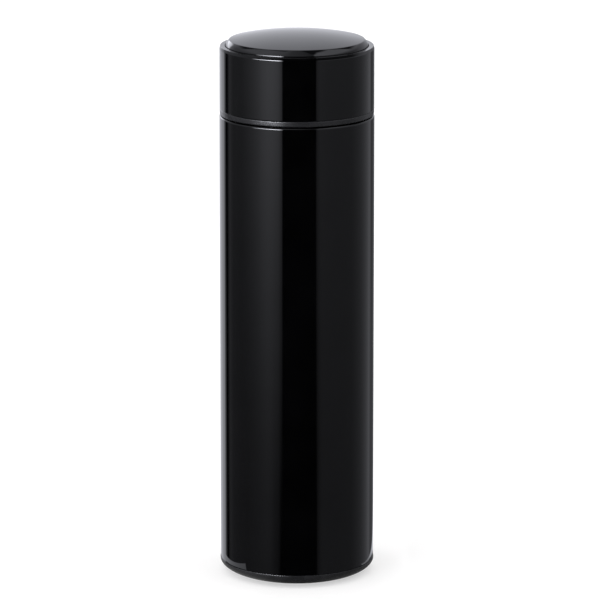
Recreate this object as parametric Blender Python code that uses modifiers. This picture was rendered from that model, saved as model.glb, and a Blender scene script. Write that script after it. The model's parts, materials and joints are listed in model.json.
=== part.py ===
"""Vacuum flask: a double-walled steel bottle with a screw lid.

The lid holds a temperature display under a domed black window, with a probe that
reaches down through the screw plug into the drink.

Everything is turned about the Z axis and stands on the ground at z = 0.
Sizes below are millimetres; the modelling helpers turn them into metres.
"""
import math

import bmesh
import bpy
from mathutils import Matrix, Vector

MM = 0.001

# Overall sizes
TOTAL_HEIGHT = 232.0
BODY_RADIUS = 32.5
LID_RADIUS = 32.4
BASE_RADIUS = 32.65
STEEL = 0.6              # wall of every steel shell
GAP = 0.3                # clearance between neighbouring pieces

# Heights of the joints that show from outside
PAD_THICKNESS = 1.2
BASE_LIFT = 0.4          # the rubber pad stands this far proud of the base cup
BASE_TOP = 5.5
SHOULDER_Z = 196.9
TRIM_BOTTOM = 197.4
TRIM_TOP = 199.4
RIM_TOP = 226.3
RIM_TAPER_HEIGHT = 1.35  # how far below its flat top the lid's rim starts to lean in
RIM_BEND = 1.15          # radius where the lean starts
RIM_TAPER = 14.0         # lean at the top of the rim, in degrees
RIM_INSET = 0.3          # how much narrower the flat top is than the lid, on each side
SHOULDER_ROUND = 0.7

# Base
BASE_CURVE_INSET = 11.0
BASE_CURVE_DROP = 5.9
RECESS_RADIUS = 29.6     # the shell necks in to this below the base cup's top
RECESS_BOTTOM = 2.7
DIMPLE_RISE = 1.2        # dimple round the evacuation hole in the bottom plate
GETTER_Y = 19.0
PAD_RADIUS = 22.0

# Inner vessel and neck
VESSEL_RADIUS = 28.7
VESSEL_FLOOR = 12.6
VESSEL_SHOULDER = 184.6
THROAT_RADIUS = 20.9
THROAT_BOTTOM = 192.8
SEAT_BOTTOM = 194.2
SEAT_TOP = 197.6
NECK_RADIUS = 24.0
NECK_SLEEVE_RADIUS = 26.3
LIP_RADIUS = 27.2
LIP_TOP = 210.0
LIP_UNDERSIDE = 208.5
NECK_SLEEVE_TOP = 208.1

# Right-hand thread between the neck and the screw plug
THREAD_PITCH = 4.0
THREAD_ROD = 0.9         # radius of the round thread ridge
NECK_THREAD_RADIUS = 23.5
NECK_THREAD_START = 199.6
NECK_THREAD_TURNS = 2.0
PLUG_THREAD_RADIUS = 22.3
PLUG_THREAD_LEAD_IN = 0.4    # turns by which the plug's ridge starts after the neck's
PLUG_THREAD_TURNS = 2.0

# Screw plug, seal and probe
PLUG_RADIUS = 22.0
PLUG_WALL = 1.8
PLUG_BOTTOM = 193.4
PLUG_FLOOR = 2.0
PLUG_SHOULDER = 198.0
PLUG_TOP = 212.7
PLUG_FLANGE = 2.2
FLANGE_RADIUS = 29.6
GROOVE_RADIUS = 19.1
GROOVE_BOTTOM = 194.6
KEEPER_RADIUS = 20.4
SEAL_OUTER = 22.2
SEAL_INNER = 19.4
PROBE_RADIUS = 2.5
PROBE_WALL = 0.4
PROBE_TIP = 181.6
PROBE_FLANGE_RADIUS = 5.0
PROBE_FLANGE_BOTTOM = 197.1
PROBE_FLANGE = 0.8

# Lid frame and electronics
CORE_RADIUS = 31.3
CORE_WALL = 1.4
CORE_BOTTOM = 200.0
CORE_TOP = 221.9
DECK_BOTTOM = 213.0
DECK_TOP = 214.6
DECK_HOLE = 23.4
BOARD_HOLE = 1.1
BOARD_RADIUS = 28.9
BOARD_BOTTOM = 217.3
BOARD_THICKNESS = 1.2
POST_RADIUS = 2.0
BOARD_SCREW_CIRCLE = 27.0
PLUG_SCREW_CIRCLE = 26.2
SCREW_SHANK = 0.7
SCREW_HEAD = 1.9
SCREW_HEAD_HEIGHT = 1.1
CELL_RADIUS = 10.0
CELL_THICKNESS = 3.2
CELL_BOTTOM = 212.9
TOUCH_SPOT_Y = 15.5
SENSOR_BOTTOM = 183.2    # thermistor bead in the probe's tip
SENSOR_TOP = 186.8

# Domed window
CREASE_RADIUS = 28.4
CREASE_Z = 228.8
LENS_RADIUS = 29.8
LENS_EDGE_Z = 226.4
LENS_THICKNESS = 2.0
LENS_EDGE_ROUND = 0.7    # rounding between the window's side and its bevel
BEVEL_TILT = 33.0        # degrees between the bevel and the vertical
LENS_FLANGE_RADIUS = 31.2
LENS_FLANGE_TOP = 224.5
LENS_FLANGE_BOTTOM = 223.1

# Facets round the axis
OUTER_STEPS = 48
INNER_STEPS = 32
SMALL_STEPS = 16
THREAD_STEPS = 16        # points along each turn of thread

COLLECTION_NAME = "vacuum_flask"


# ---------------------------------------------------------------- materials

def make_material(name, colour, roughness, metallic=0.0):
    """A plain Principled material."""
    material = bpy.data.materials.new(name)
    material.use_nodes = True
    shader = material.node_tree.nodes["Principled BSDF"]
    shader.inputs["Base Color"].default_value = (*colour, 1.0)
    shader.inputs["Roughness"].default_value = roughness
    shader.inputs["Metallic"].default_value = metallic
    material.diffuse_color = (*colour, 1.0)
    return material


# name: (colour, roughness, metallic)
FINISHES = {
    "black_lacquer": ((0.008, 0.008, 0.009), 0.06, 0.0),
    "black_satin": ((0.012, 0.012, 0.013), 0.35, 0.0),
    "black_window": ((0.004, 0.004, 0.005), 0.03, 0.0),
    "brushed_steel": ((0.56, 0.56, 0.57), 0.30, 1.0),
    "spring_steel": ((0.62, 0.61, 0.58), 0.25, 1.0),
    "aluminium_foil": ((0.80, 0.80, 0.81), 0.25, 1.0),
    "getter_alloy": ((0.30, 0.29, 0.28), 0.55, 1.0),
    "solder_glass": ((0.35, 0.36, 0.38), 0.25, 0.0),
    "black_rubber": ((0.020, 0.020, 0.021), 0.75, 0.0),
    "silicone": ((0.70, 0.70, 0.69), 0.55, 0.0),
    "grey_polypropylene": ((0.10, 0.10, 0.105), 0.45, 0.0),
    "black_abs": ((0.020, 0.020, 0.022), 0.45, 0.0),
    "foam": ((0.75, 0.75, 0.73), 0.90, 0.0),
    "board_green": ((0.010, 0.100, 0.045), 0.40, 0.0),
    "display_grey": ((0.14, 0.14, 0.15), 0.40, 0.0),
    "diffuser_white": ((0.72, 0.72, 0.72), 0.50, 0.0),
    "wire_sleeve": ((0.45, 0.03, 0.02), 0.50, 0.0),
}


# ---------------------------------------------------------------- helpers

def clear_scene():
    """Remove whatever the file holds before modelling starts."""
    for existing in list(bpy.data.objects):
        bpy.data.objects.remove(existing, do_unlink=True)


def new_collection(name):
    """A collection linked to the scene."""
    collection = bpy.data.collections.new(name)
    bpy.context.scene.collection.children.link(collection)
    return collection


def add_object(name, data, finish, parent):
    """Place a named part in the flask's collection, with its own material."""
    part = bpy.data.objects.new(name, data)
    bpy.data.collections[COLLECTION_NAME].objects.link(part)
    colour, roughness, metallic = FINISHES[finish]
    data.materials.append(make_material(name + "_" + finish, colour, roughness, metallic))
    part.parent = parent
    return part


def add_frame(name):
    """An empty on the flask's axis that carries one moving group."""
    frame = bpy.data.objects.new(name, None)
    frame.empty_display_size = 20 * MM
    bpy.data.collections[COLLECTION_NAME].objects.link(frame)
    return frame


def arc(centre, radii, start_deg, end_deg, segments):
    """Points (r, z) along an elliptical arc in the turning plane."""
    points = []
    for index in range(segments + 1):
        angle = math.radians(start_deg + (end_deg - start_deg) * index / segments)
        radius = centre[0] + radii[0] * math.cos(angle)
        height = centre[1] + radii[1] * math.sin(angle)
        points.append((max(radius, 0.0), height))
    return points


def outline_mesh(name, outline):
    """Edges of a turned outline, which goes down the outer side.

    An outline that starts and ends on the axis stays open, any other is a loop.
    """
    mesh = bpy.data.meshes.new(name)
    vertices = [(radius * MM, 0.0, height * MM) for radius, height in outline]
    edges = [(index, index + 1) for index in range(len(outline) - 1)]
    on_axis = outline[0][0] == 0.0 and outline[-1][0] == 0.0
    if not on_axis:
        edges.append((len(outline) - 1, 0))
    mesh.from_pydata(vertices, edges, [])
    return mesh


def add_screw(part, steps):
    """Turn an outline once round the Z axis."""
    screw = part.modifiers.new("Turn", "SCREW")
    screw.axis = "Z"
    screw.angle = math.tau
    screw.steps = steps
    screw.render_steps = steps
    screw.use_merge_vertices = True
    screw.merge_threshold = 0.01 * MM
    screw.use_smooth_shade = True


def turned(name, outline, steps, finish, parent, centre=(0.0, 0.0)):
    """A solid of revolution about a vertical axis through centre."""
    part = add_object(name, outline_mesh(name, outline), finish, parent)
    part.location = (centre[0] * MM, centre[1] * MM, 0.0)
    add_screw(part, steps)
    return part


def box(name, size, centre, finish, parent, edge=0.3):
    """A block with small rounded edges."""
    mesh = bpy.data.meshes.new(name)
    builder = bmesh.new()
    bmesh.ops.create_cube(builder, size=1.0)
    bmesh.ops.scale(builder, vec=Vector(size) * MM, verts=builder.verts)
    builder.to_mesh(mesh)
    builder.free()
    part = add_object(name, mesh, finish, parent)
    part.location = Vector(centre) * MM
    bevel = part.modifiers.new("Edges", "BEVEL")
    bevel.width = edge * MM
    bevel.segments = 1
    return part


def strip(name, path, width, thickness, finish, parent, centre=(0.0, 0.0)):
    """A bent metal strip: a path in the XZ plane, drawn out along Y."""
    mesh = bpy.data.meshes.new(name)
    builder = bmesh.new()
    vertices = [builder.verts.new((x * MM, -width / 2 * MM, z * MM)) for x, z in path]
    edges = [builder.edges.new(pair) for pair in zip(vertices, vertices[1:])]
    drawn = bmesh.ops.extrude_edge_only(builder, edges=edges)
    moved = [item for item in drawn["geom"] if isinstance(item, bmesh.types.BMVert)]
    bmesh.ops.translate(builder, vec=(0.0, width * MM, 0.0), verts=moved)
    builder.to_mesh(mesh)
    builder.free()
    part = add_object(name, mesh, finish, parent)
    part.location = (centre[0] * MM, centre[1] * MM, 0.0)
    solidify = part.modifiers.new("Sheet", "SOLIDIFY")
    solidify.thickness = thickness * MM
    solidify.offset = 0.0
    return part


def wire_curve(name, points, radius, point_scales=None):
    """A round wire along straight segments between points in millimetres."""
    curve = bpy.data.curves.new(name, "CURVE")
    curve.dimensions = "3D"
    curve.bevel_depth = radius * MM
    curve.bevel_resolution = 2
    curve.use_fill_caps = True
    spline = curve.splines.new("POLY")
    spline.points.add(len(points) - 1)
    for index, point in enumerate(points):
        spline.points[index].co = (point[0] * MM, point[1] * MM, point[2] * MM, 1.0)
        if point_scales:
            spline.points[index].radius = point_scales[index]
    return curve


def helix(radius, start_z, pitch, start_turn, turns, points_per_turn):
    """Points along a right-hand helix about the Z axis."""
    count = round(turns * points_per_turn)
    points = []
    for index in range(count + 1):
        turn = start_turn + turns * index / count
        angle = math.tau * turn
        points.append((radius * math.cos(angle), radius * math.sin(angle), start_z + pitch * turn))
    return points


def add_cutter(name, mesh):
    """A hidden helper object for a Boolean."""
    cutter = bpy.data.objects.new(name, mesh)
    bpy.data.collections["cutters"].objects.link(cutter)
    cutter.hide_render = True
    cutter.display_type = "WIRE"
    return cutter


def cylinder_mesh(name, radius, bottom, top, centre):
    """A closed vertical cylinder."""
    mesh = bpy.data.meshes.new(name)
    builder = bmesh.new()
    middle = Vector((centre[0], centre[1], (bottom + top) / 2)) * MM
    bmesh.ops.create_cone(
        builder,
        cap_ends=True,
        segments=SMALL_STEPS,
        radius1=radius * MM,
        radius2=radius * MM,
        depth=(top - bottom) * MM,
        matrix=Matrix.Translation(middle),
    )
    builder.to_mesh(mesh)
    builder.free()
    return mesh


def boolean(part, tool, operation):
    """Cut or join a part with a helper object."""
    modifier = part.modifiers.new(tool.name, "BOOLEAN")
    modifier.operation = operation
    modifier.object = tool


def cut_hole(part, label, radius, bottom, top, centre):
    """A round vertical hole through a part."""
    mesh = cylinder_mesh(label, radius, bottom, top, centre)
    boolean(part, add_cutter(label, mesh), "DIFFERENCE")


def join_thread(part, label, points):
    """Join a round helical ridge, faded out at both ends, to a turned part."""
    fade = 5                 # points over which the ridge grows at each end
    start = 0.35             # share of its radius with which it starts
    last = len(points) - 1
    scales = []
    for index in range(len(points)):
        grown = min(index, last - index) / fade
        scales.append(min(1.0, start + (1.0 - start) * grown))
    curve = wire_curve(label, points, THREAD_ROD, scales)
    curve_object = bpy.data.objects.new(label + "_path", curve)
    bpy.data.collections["cutters"].objects.link(curve_object)
    bpy.context.view_layer.update()
    evaluated = curve_object.evaluated_get(bpy.context.evaluated_depsgraph_get())
    mesh = bpy.data.meshes.new_from_object(evaluated)
    builder = bmesh.new()
    builder.from_mesh(mesh)
    bmesh.ops.remove_doubles(builder, verts=builder.verts, dist=0.001 * MM)
    bmesh.ops.recalc_face_normals(builder, faces=builder.faces)
    builder.to_mesh(mesh)
    builder.free()
    ridge = add_cutter(label, mesh)
    ridge.matrix_world = curve_object.matrix_world
    bpy.data.objects.remove(curve_object)
    boolean(part, ridge, "UNION")


def on_circle(radius, index, count, phase_deg=0.0):
    """Centre of one of several equally spaced places round the axis."""
    angle = math.radians(phase_deg + 360.0 * index / count)
    return (radius * math.cos(angle), radius * math.sin(angle))


# ---------------------------------------------------------------- flask

def make_outer_shell(parent):
    """Lacquered outer wall: recessed foot, straight side, shoulder and neck."""
    inside = BODY_RADIUS - STEEL
    neck_outside = NECK_SLEEVE_RADIUS + STEEL
    foot_round = 0.5
    inner_corner = 0.4
    neck_fillet = 0.7
    foot_z = BASE_TOP + GAP
    outline = [(neck_outside, NECK_SLEEVE_TOP), (neck_outside, SHOULDER_Z + neck_fillet)]
    outline.append((neck_outside + neck_fillet, SHOULDER_Z))
    outline += arc(
        (BODY_RADIUS - SHOULDER_ROUND, SHOULDER_Z - SHOULDER_ROUND),
        (SHOULDER_ROUND, SHOULDER_ROUND), 90, 0, 3)
    outline += arc((BODY_RADIUS - foot_round, foot_z + foot_round), (foot_round, foot_round), 0, -90, 2)
    outline.append((RECESS_RADIUS, foot_z))
    outline.append((RECESS_RADIUS, RECESS_BOTTOM))
    outline.append((RECESS_RADIUS - STEEL, RECESS_BOTTOM))
    outline.append((RECESS_RADIUS - STEEL, foot_z + STEEL))
    outline.append((inside, foot_z + STEEL))
    outline.append((inside, SHOULDER_Z - STEEL - inner_corner))
    outline.append((inside - inner_corner, SHOULDER_Z - STEEL))
    outline.append((NECK_SLEEVE_RADIUS, SHOULDER_Z - STEEL))
    outline.append((NECK_SLEEVE_RADIUS, NECK_SLEEVE_TOP))
    return turned("outer_shell", outline, OUTER_STEPS, "black_lacquer", parent)


def make_inner_vessel(parent):
    """Drink side: floor, wall, throat with the seal's seat, threaded neck and lip."""
    corner = 8.0
    outside = VESSEL_RADIUS + STEEL
    throat_outside = THROAT_RADIUS + STEEL
    lip_drop = 0.9
    lip_centre = (NECK_RADIUS + LIP_RADIUS) / 2
    lip_half = (LIP_RADIUS - NECK_RADIUS) / 2
    outline = [(0.0, VESSEL_FLOOR)]
    outline += arc((VESSEL_RADIUS - corner, VESSEL_FLOOR + corner), (corner, corner), 270, 360, 4)
    outline += arc(
        (THROAT_RADIUS, VESSEL_SHOULDER),
        (VESSEL_RADIUS - THROAT_RADIUS, THROAT_BOTTOM - VESSEL_SHOULDER), 0, 90, 4)
    outline.append((THROAT_RADIUS, SEAT_BOTTOM))
    outline.append((NECK_RADIUS, SEAT_TOP))
    outline += arc((lip_centre, LIP_TOP - lip_drop), (lip_half, lip_drop), 180, 0, 4)
    outline.append((LIP_RADIUS, LIP_UNDERSIDE))
    outline.append((NECK_RADIUS + STEEL, LIP_UNDERSIDE))
    outline.append((NECK_RADIUS + STEEL, SEAT_TOP - STEEL / 2))
    outline.append((throat_outside, SEAT_BOTTOM - STEEL / 2))
    outline += arc(
        (throat_outside, VESSEL_SHOULDER),
        (outside - throat_outside, THROAT_BOTTOM + STEEL - VESSEL_SHOULDER), 90, 0, 4)
    corner_centre = (VESSEL_RADIUS - corner, VESSEL_FLOOR + corner)
    outline += arc(corner_centre, (corner + STEEL, corner + STEEL), 0, -90, 4)
    outline.append((0.0, VESSEL_FLOOR - STEEL))
    vessel = turned("inner_vessel", outline, INNER_STEPS, "brushed_steel", parent)
    ridge = helix(NECK_THREAD_RADIUS, NECK_THREAD_START, THREAD_PITCH, 0.0, NECK_THREAD_TURNS, THREAD_STEPS)
    join_thread(vessel, "neck_thread", ridge)
    return vessel


def make_bottom_plate(parent):
    """Welded steel bottom with a dimple round the evacuation hole."""
    rim_radius = RECESS_RADIUS - STEEL - GAP
    rim_height = 2.9
    rim_top = RECESS_BOTTOM + rim_height
    dimple_radius = 9.0
    dimple_edge = dimple_radius + 2 * DIMPLE_RISE
    hole_radius = 0.8
    outline = [
        (rim_radius, rim_top),
        (rim_radius, RECESS_BOTTOM),
        (dimple_edge, RECESS_BOTTOM),
        (dimple_radius, RECESS_BOTTOM + DIMPLE_RISE),
        (hole_radius, RECESS_BOTTOM + DIMPLE_RISE),
        (hole_radius, RECESS_BOTTOM + DIMPLE_RISE + STEEL),
        (dimple_radius + GAP, RECESS_BOTTOM + DIMPLE_RISE + STEEL),
        (dimple_edge + GAP, RECESS_BOTTOM + STEEL),
        (rim_radius - STEEL, RECESS_BOTTOM + STEEL),
        (rim_radius - STEEL, rim_top),
    ]
    return turned("bottom_plate", outline, INNER_STEPS, "brushed_steel", parent)


def make_vacuum_seal(parent):
    """Bead of solder glass that closes the evacuation hole from below."""
    bead_radius = 3.0
    bead_height = 0.8
    bead_top = RECESS_BOTTOM + DIMPLE_RISE - GAP
    outline = [(0.0, bead_top)] + arc((0.0, bead_top), (bead_radius, bead_height), 0, -90, 4)
    return turned("vacuum_seal_bead", outline, SMALL_STEPS, "solder_glass", parent)


def make_getter(parent):
    """Gas-absorbing pellet on the bottom plate, inside the vacuum."""
    pellet_radius = 4.2
    pellet_bottom = RECESS_BOTTOM + STEEL + GAP
    pellet_height = 3.0
    pellet_top = pellet_bottom + pellet_height
    edge = 0.5
    outline = [
        (0.0, pellet_top),
        (pellet_radius - edge, pellet_top),
        (pellet_radius, pellet_top - edge),
        (pellet_radius, pellet_bottom + edge),
        (pellet_radius - edge, pellet_bottom),
        (0.0, pellet_bottom),
    ]
    return turned("getter", outline, SMALL_STEPS, "getter_alloy", parent, centre=(0.0, GETTER_Y))


def make_getter_strap(parent):
    """Spot-welded strip that holds the getter down."""
    thickness = 0.4
    width = 3.0
    foot = 7.0
    leg = 4.9
    bridge_rise = 3.4
    foot_z = RECESS_BOTTOM + STEEL + GAP + thickness / 2
    bridge_z = foot_z + bridge_rise
    path = [(-foot, foot_z), (-leg, foot_z), (-leg, bridge_z)]
    path += [(leg, bridge_z), (leg, foot_z), (foot, foot_z)]
    return strip("getter_strap", path, width, thickness, "spring_steel", parent, centre=(0.0, GETTER_Y))


def make_heat_shield(parent):
    """Metal foil wrapped round the inner vessel, between the two walls."""
    clearance = 1.0
    foil_radius = VESSEL_RADIUS + STEEL + clearance
    foil = 0.2
    bottom = 24.0
    top = 182.0
    outline = [
        (foil_radius + foil, top),
        (foil_radius + foil, bottom),
        (foil_radius, bottom),
        (foil_radius, top),
    ]
    return turned("heat_shield", outline, INNER_STEPS, "aluminium_foil", parent)


def make_base_cup(parent):
    """Satin plastic cup pressed over the recessed foot, curved in underneath."""
    floor_top = RECESS_BOTTOM - GAP
    inside = RECESS_RADIUS + GAP
    pad_recess = PAD_THICKNESS + GAP
    top_edge = 0.25
    curve_centre = (BASE_RADIUS - BASE_CURVE_INSET, BASE_TOP - top_edge)
    end_deg = -math.degrees(math.asin((curve_centre[1] - BASE_LIFT) / BASE_CURVE_DROP))
    outline = [(0.0, floor_top), (inside, floor_top), (inside, BASE_TOP)]
    outline.append((BASE_RADIUS - top_edge, BASE_TOP))
    outline += arc(curve_centre, (BASE_CURVE_INSET, BASE_CURVE_DROP), 0, end_deg, 5)
    outline.append((PAD_RADIUS + GAP, BASE_LIFT))
    outline.append((PAD_RADIUS + GAP, pad_recess))
    outline.append((0.0, pad_recess))
    return turned("base_cup", outline, OUTER_STEPS, "black_satin", parent)


def make_foot_pad(parent):
    """Rubber disc in the cup's underside; the flask stands on it."""
    edge = 0.3
    outline = [
        (0.0, PAD_THICKNESS),
        (PAD_RADIUS, PAD_THICKNESS),
        (PAD_RADIUS, edge),
        (PAD_RADIUS - edge, 0.0),
        (0.0, 0.0),
    ]
    return turned("foot_pad", outline, INNER_STEPS, "black_rubber", parent)


# ---------------------------------------------------------------- seal

def make_sealing_ring(parent):
    """Silicone ring in the plug's groove, bevelled to meet the seat."""
    top = PLUG_SHOULDER - GAP
    bottom = GROOVE_BOTTOM + GAP
    bevel_radius = 21.0
    bevel_rise = 1.4
    outline = [
        (SEAL_OUTER, top),
        (SEAL_OUTER, bottom + bevel_rise),
        (bevel_radius, bottom),
        (SEAL_INNER, bottom),
        (SEAL_INNER, top),
    ]
    return turned("sealing_ring", outline, INNER_STEPS, "silicone", parent)


# ---------------------------------------------------------------- lid

def make_lid_sleeve(parent):
    """Lacquered steel tube of the lid, its top edge turned in round the window."""
    inside = LID_RADIUS - STEEL
    opening = LENS_RADIUS + GAP
    bend_height = RIM_TOP - RIM_TAPER_HEIGHT
    bottom = TRIM_TOP + GAP
    edge = 0.2
    outline = [(opening, RIM_TOP), (LID_RADIUS - RIM_INSET, RIM_TOP)]
    outline += arc((LID_RADIUS - RIM_BEND, bend_height), (RIM_BEND, RIM_BEND), RIM_TAPER, 0, 2)
    outline.append((LID_RADIUS, bottom + edge))
    outline.append((LID_RADIUS - edge, bottom))
    outline.append((inside, bottom))
    outline += [(inside, bend_height), (inside - RIM_INSET, RIM_TOP - STEEL)]
    outline.append((opening, RIM_TOP - STEEL))
    return turned("lid_sleeve", outline, OUTER_STEPS, "black_lacquer", parent)


def make_lid_trim_ring(parent):
    """Satin ring under the sleeve, with a collar that snaps into the lid frame."""
    taper = 0.05
    trim_radius = LID_RADIUS - taper
    lip_clearance = 1.2
    collar_height = 3.4
    collar_outer = CORE_RADIUS - CORE_WALL - GAP
    collar_inner = LIP_RADIUS + lip_clearance
    collar_top = TRIM_TOP + collar_height
    edge = 0.4
    outline = [
        (collar_outer, collar_top),
        (collar_outer, TRIM_TOP),
        (trim_radius - edge / 2, TRIM_TOP),
        (trim_radius, TRIM_TOP - edge / 2),
    ]
    outline += arc((trim_radius - taper - edge, TRIM_BOTTOM + edge), (edge, edge), 0, -90, 2)
    outline.append((collar_inner, TRIM_BOTTOM))
    outline.append((collar_inner, collar_top))
    return turned("lid_trim_ring", outline, OUTER_STEPS, "black_satin", parent)


def make_lid_core(parent):
    """Plastic frame inside the sleeve: skirt, deck with three posts, upper cup."""
    skirt_inside = CORE_RADIUS - CORE_WALL
    cup_step = 0.2
    cup_inside = skirt_inside - cup_step
    post_top = BOARD_BOTTOM - GAP
    post_root = 0.8          # depth by which a post starts inside the deck
    bore_floor = 0.2
    over = 1.0               # cutters reach past the material by this much
    outline = [
        (CORE_RADIUS, CORE_TOP),
        (CORE_RADIUS, CORE_BOTTOM),
        (skirt_inside, CORE_BOTTOM),
        (skirt_inside, DECK_BOTTOM),
        (DECK_HOLE, DECK_BOTTOM),
        (DECK_HOLE, DECK_TOP),
        (cup_inside, DECK_TOP),
        (cup_inside, CORE_TOP),
    ]
    core = turned("lid_core", outline, INNER_STEPS, "black_abs", parent)
    for index in range(3):
        centre = on_circle(BOARD_SCREW_CIRCLE, index, 3)
        post = cylinder_mesh("board_post", POST_RADIUS, DECK_TOP - post_root, post_top, centre)
        boolean(core, add_cutter("board_post_%d" % (index + 1), post), "UNION")
        bore_bottom = DECK_TOP + bore_floor
        name = "post_bore_%d" % (index + 1)
        cut_hole(core, name, SCREW_SHANK + GAP, bore_bottom, post_top + over, centre)
        centre = on_circle(PLUG_SCREW_CIRCLE, index, 3, 60)
        hole_bottom = DECK_BOTTOM - over
        name = "deck_hole_%d" % (index + 1)
        cut_hole(core, name, SCREW_SHANK + GAP, hole_bottom, DECK_TOP + over, centre)
    return core


def make_screw_plug(parent):
    """Hollow plug with the male thread, the seal's groove and the probe's hole."""
    groove_wall = 1.7
    shoulder_wall = 0.6
    shoulder_rise = 2.6
    probe_clearance = 0.4
    over = 1.0               # cutters reach past the material by this much
    groove_inside = GROOVE_RADIUS - groove_wall
    floor_top = PLUG_BOTTOM + PLUG_FLOOR
    probe_hole = PROBE_RADIUS + probe_clearance
    bore = PLUG_RADIUS - PLUG_WALL
    outline = [
        (FLANGE_RADIUS, PLUG_TOP),
        (FLANGE_RADIUS, PLUG_TOP - PLUG_FLANGE),
        (PLUG_RADIUS, PLUG_TOP - PLUG_FLANGE),
        (PLUG_RADIUS, PLUG_SHOULDER),
        (GROOVE_RADIUS, PLUG_SHOULDER),
        (GROOVE_RADIUS, GROOVE_BOTTOM),
        (KEEPER_RADIUS, GROOVE_BOTTOM),
        (KEEPER_RADIUS, PLUG_BOTTOM),
        (probe_hole, PLUG_BOTTOM),
        (probe_hole, floor_top),
        (groove_inside, floor_top),
        (groove_inside, PLUG_SHOULDER + shoulder_wall),
        (bore, PLUG_SHOULDER + shoulder_rise),
        (bore, PLUG_TOP),
    ]
    plug = turned("screw_plug", outline, INNER_STEPS, "grey_polypropylene", parent)
    ridge = helix(
        PLUG_THREAD_RADIUS, NECK_THREAD_START - THREAD_PITCH / 2, THREAD_PITCH,
        PLUG_THREAD_LEAD_IN, PLUG_THREAD_TURNS, THREAD_STEPS)
    join_thread(plug, "plug_thread", ridge)
    for index in range(3):
        centre = on_circle(PLUG_SCREW_CIRCLE, index, 3, 60)
        hole_bottom = PLUG_TOP - PLUG_FLANGE - over
        name = "flange_hole_%d" % (index + 1)
        cut_hole(plug, name, SCREW_SHANK + GAP, hole_bottom, PLUG_TOP + over, centre)
    return plug


def make_plug_insulation(parent):
    """Foam that fills the plug above the probe."""
    bore = 2.0
    clearance = 0.4
    flange_clearance = 1.0
    top_drop = 3.7
    foot_radius = 17.0
    foot_rise = 2.2
    radius = PLUG_RADIUS - PLUG_WALL - clearance
    bottom = PROBE_FLANGE_BOTTOM + PROBE_FLANGE + flange_clearance
    top = PLUG_TOP - top_drop
    outline = [(radius, top), (radius, bottom + foot_rise), (foot_radius, bottom)]
    outline += [(bore, bottom), (bore, top)]
    return turned("plug_insulation", outline, INNER_STEPS, "foam", parent)


def make_display_lens(parent):
    """Domed black window: spherical top, bevelled edge, flange under the rim of the sleeve."""
    rise = TOTAL_HEIGHT - CREASE_Z
    dome_radius = (CREASE_RADIUS ** 2 + rise ** 2) / (2 * rise)
    inner_edge = 26.5
    skirt_wall = 1.6
    skirt_drop = 0.6
    skirt_inside = LENS_RADIUS - skirt_wall
    edge_centre = (LENS_RADIUS - LENS_EDGE_ROUND, LENS_EDGE_Z)

    def dome_height(radius):
        return TOTAL_HEIGHT - dome_radius + math.sqrt(dome_radius ** 2 - radius ** 2)

    outline = []
    for index in range(5):
        radius = CREASE_RADIUS * index / 4
        outline.append((radius, dome_height(radius)))
    outline += arc(edge_centre, (LENS_EDGE_ROUND, LENS_EDGE_ROUND), BEVEL_TILT, 0, 2)
    outline.append((LENS_RADIUS, LENS_FLANGE_TOP))
    outline.append((LENS_FLANGE_RADIUS, LENS_FLANGE_TOP))
    outline.append((LENS_FLANGE_RADIUS, LENS_FLANGE_BOTTOM))
    outline.append((skirt_inside, LENS_FLANGE_BOTTOM))
    outline.append((skirt_inside, LENS_EDGE_Z - skirt_drop))
    for index in range(4):
        radius = inner_edge * (3 - index) / 3
        outline.append((radius, dome_height(radius) - LENS_THICKNESS))
    return turned("display_lens", outline, OUTER_STEPS, "black_window", parent)


def make_lens_gasket(parent):
    """Soft adhesive ring between the window's flange and the lid frame."""
    outer = LENS_FLANGE_RADIUS
    width = 2.7
    inner = LENS_FLANGE_RADIUS - width
    top = LENS_FLANGE_BOTTOM - GAP
    bottom = CORE_TOP + GAP
    outline = [(outer, top), (outer, bottom), (inner, bottom), (inner, top)]
    return turned("lens_gasket", outline, INNER_STEPS, "black_rubber", parent)


def make_circuit_board(parent):
    """Round board on the frame's three posts."""
    board_top = BOARD_BOTTOM + BOARD_THICKNESS
    over = 1.0               # cutters reach past the material by this much
    outline = [(0.0, board_top), (BOARD_RADIUS, board_top)]
    outline += [(BOARD_RADIUS, BOARD_BOTTOM), (0.0, BOARD_BOTTOM)]
    board = turned("circuit_board", outline, INNER_STEPS, "board_green", parent)
    for index in range(3):
        centre = on_circle(BOARD_SCREW_CIRCLE, index, 3)
        name = "board_hole_%d" % (index + 1)
        cut_hole(board, name, BOARD_HOLE, BOARD_BOTTOM - over, board_top + over, centre)
    return board


def make_display(parent):
    """Digit display on the board, and the light diffuser over it."""
    seat = BOARD_BOTTOM + BOARD_THICKNESS + GAP
    width = 26.0
    depth = 13.0
    height = 7.6
    body_centre = (0.0, 0.0, seat + height / 2)
    box("led_display", (width, depth, height), body_centre, "display_grey", parent)
    film = 0.7
    border = 1.0
    film_size = (width + 2 * border, depth + 2 * border, film)
    film_centre = (0.0, 0.0, seat + height + GAP + film / 2)
    box("display_diffuser", film_size, film_centre, "diffuser_white", parent, edge=0.2)


def make_control_chip(parent):
    """Controller on the board, beside the display."""
    seat = BOARD_BOTTOM + BOARD_THICKNESS + GAP
    side = 6.0
    height = 1.2
    centre = (0.0, -13.5, seat + height / 2)
    return box("control_chip", (side, side, height), centre, "black_abs", parent, edge=0.15)


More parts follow.
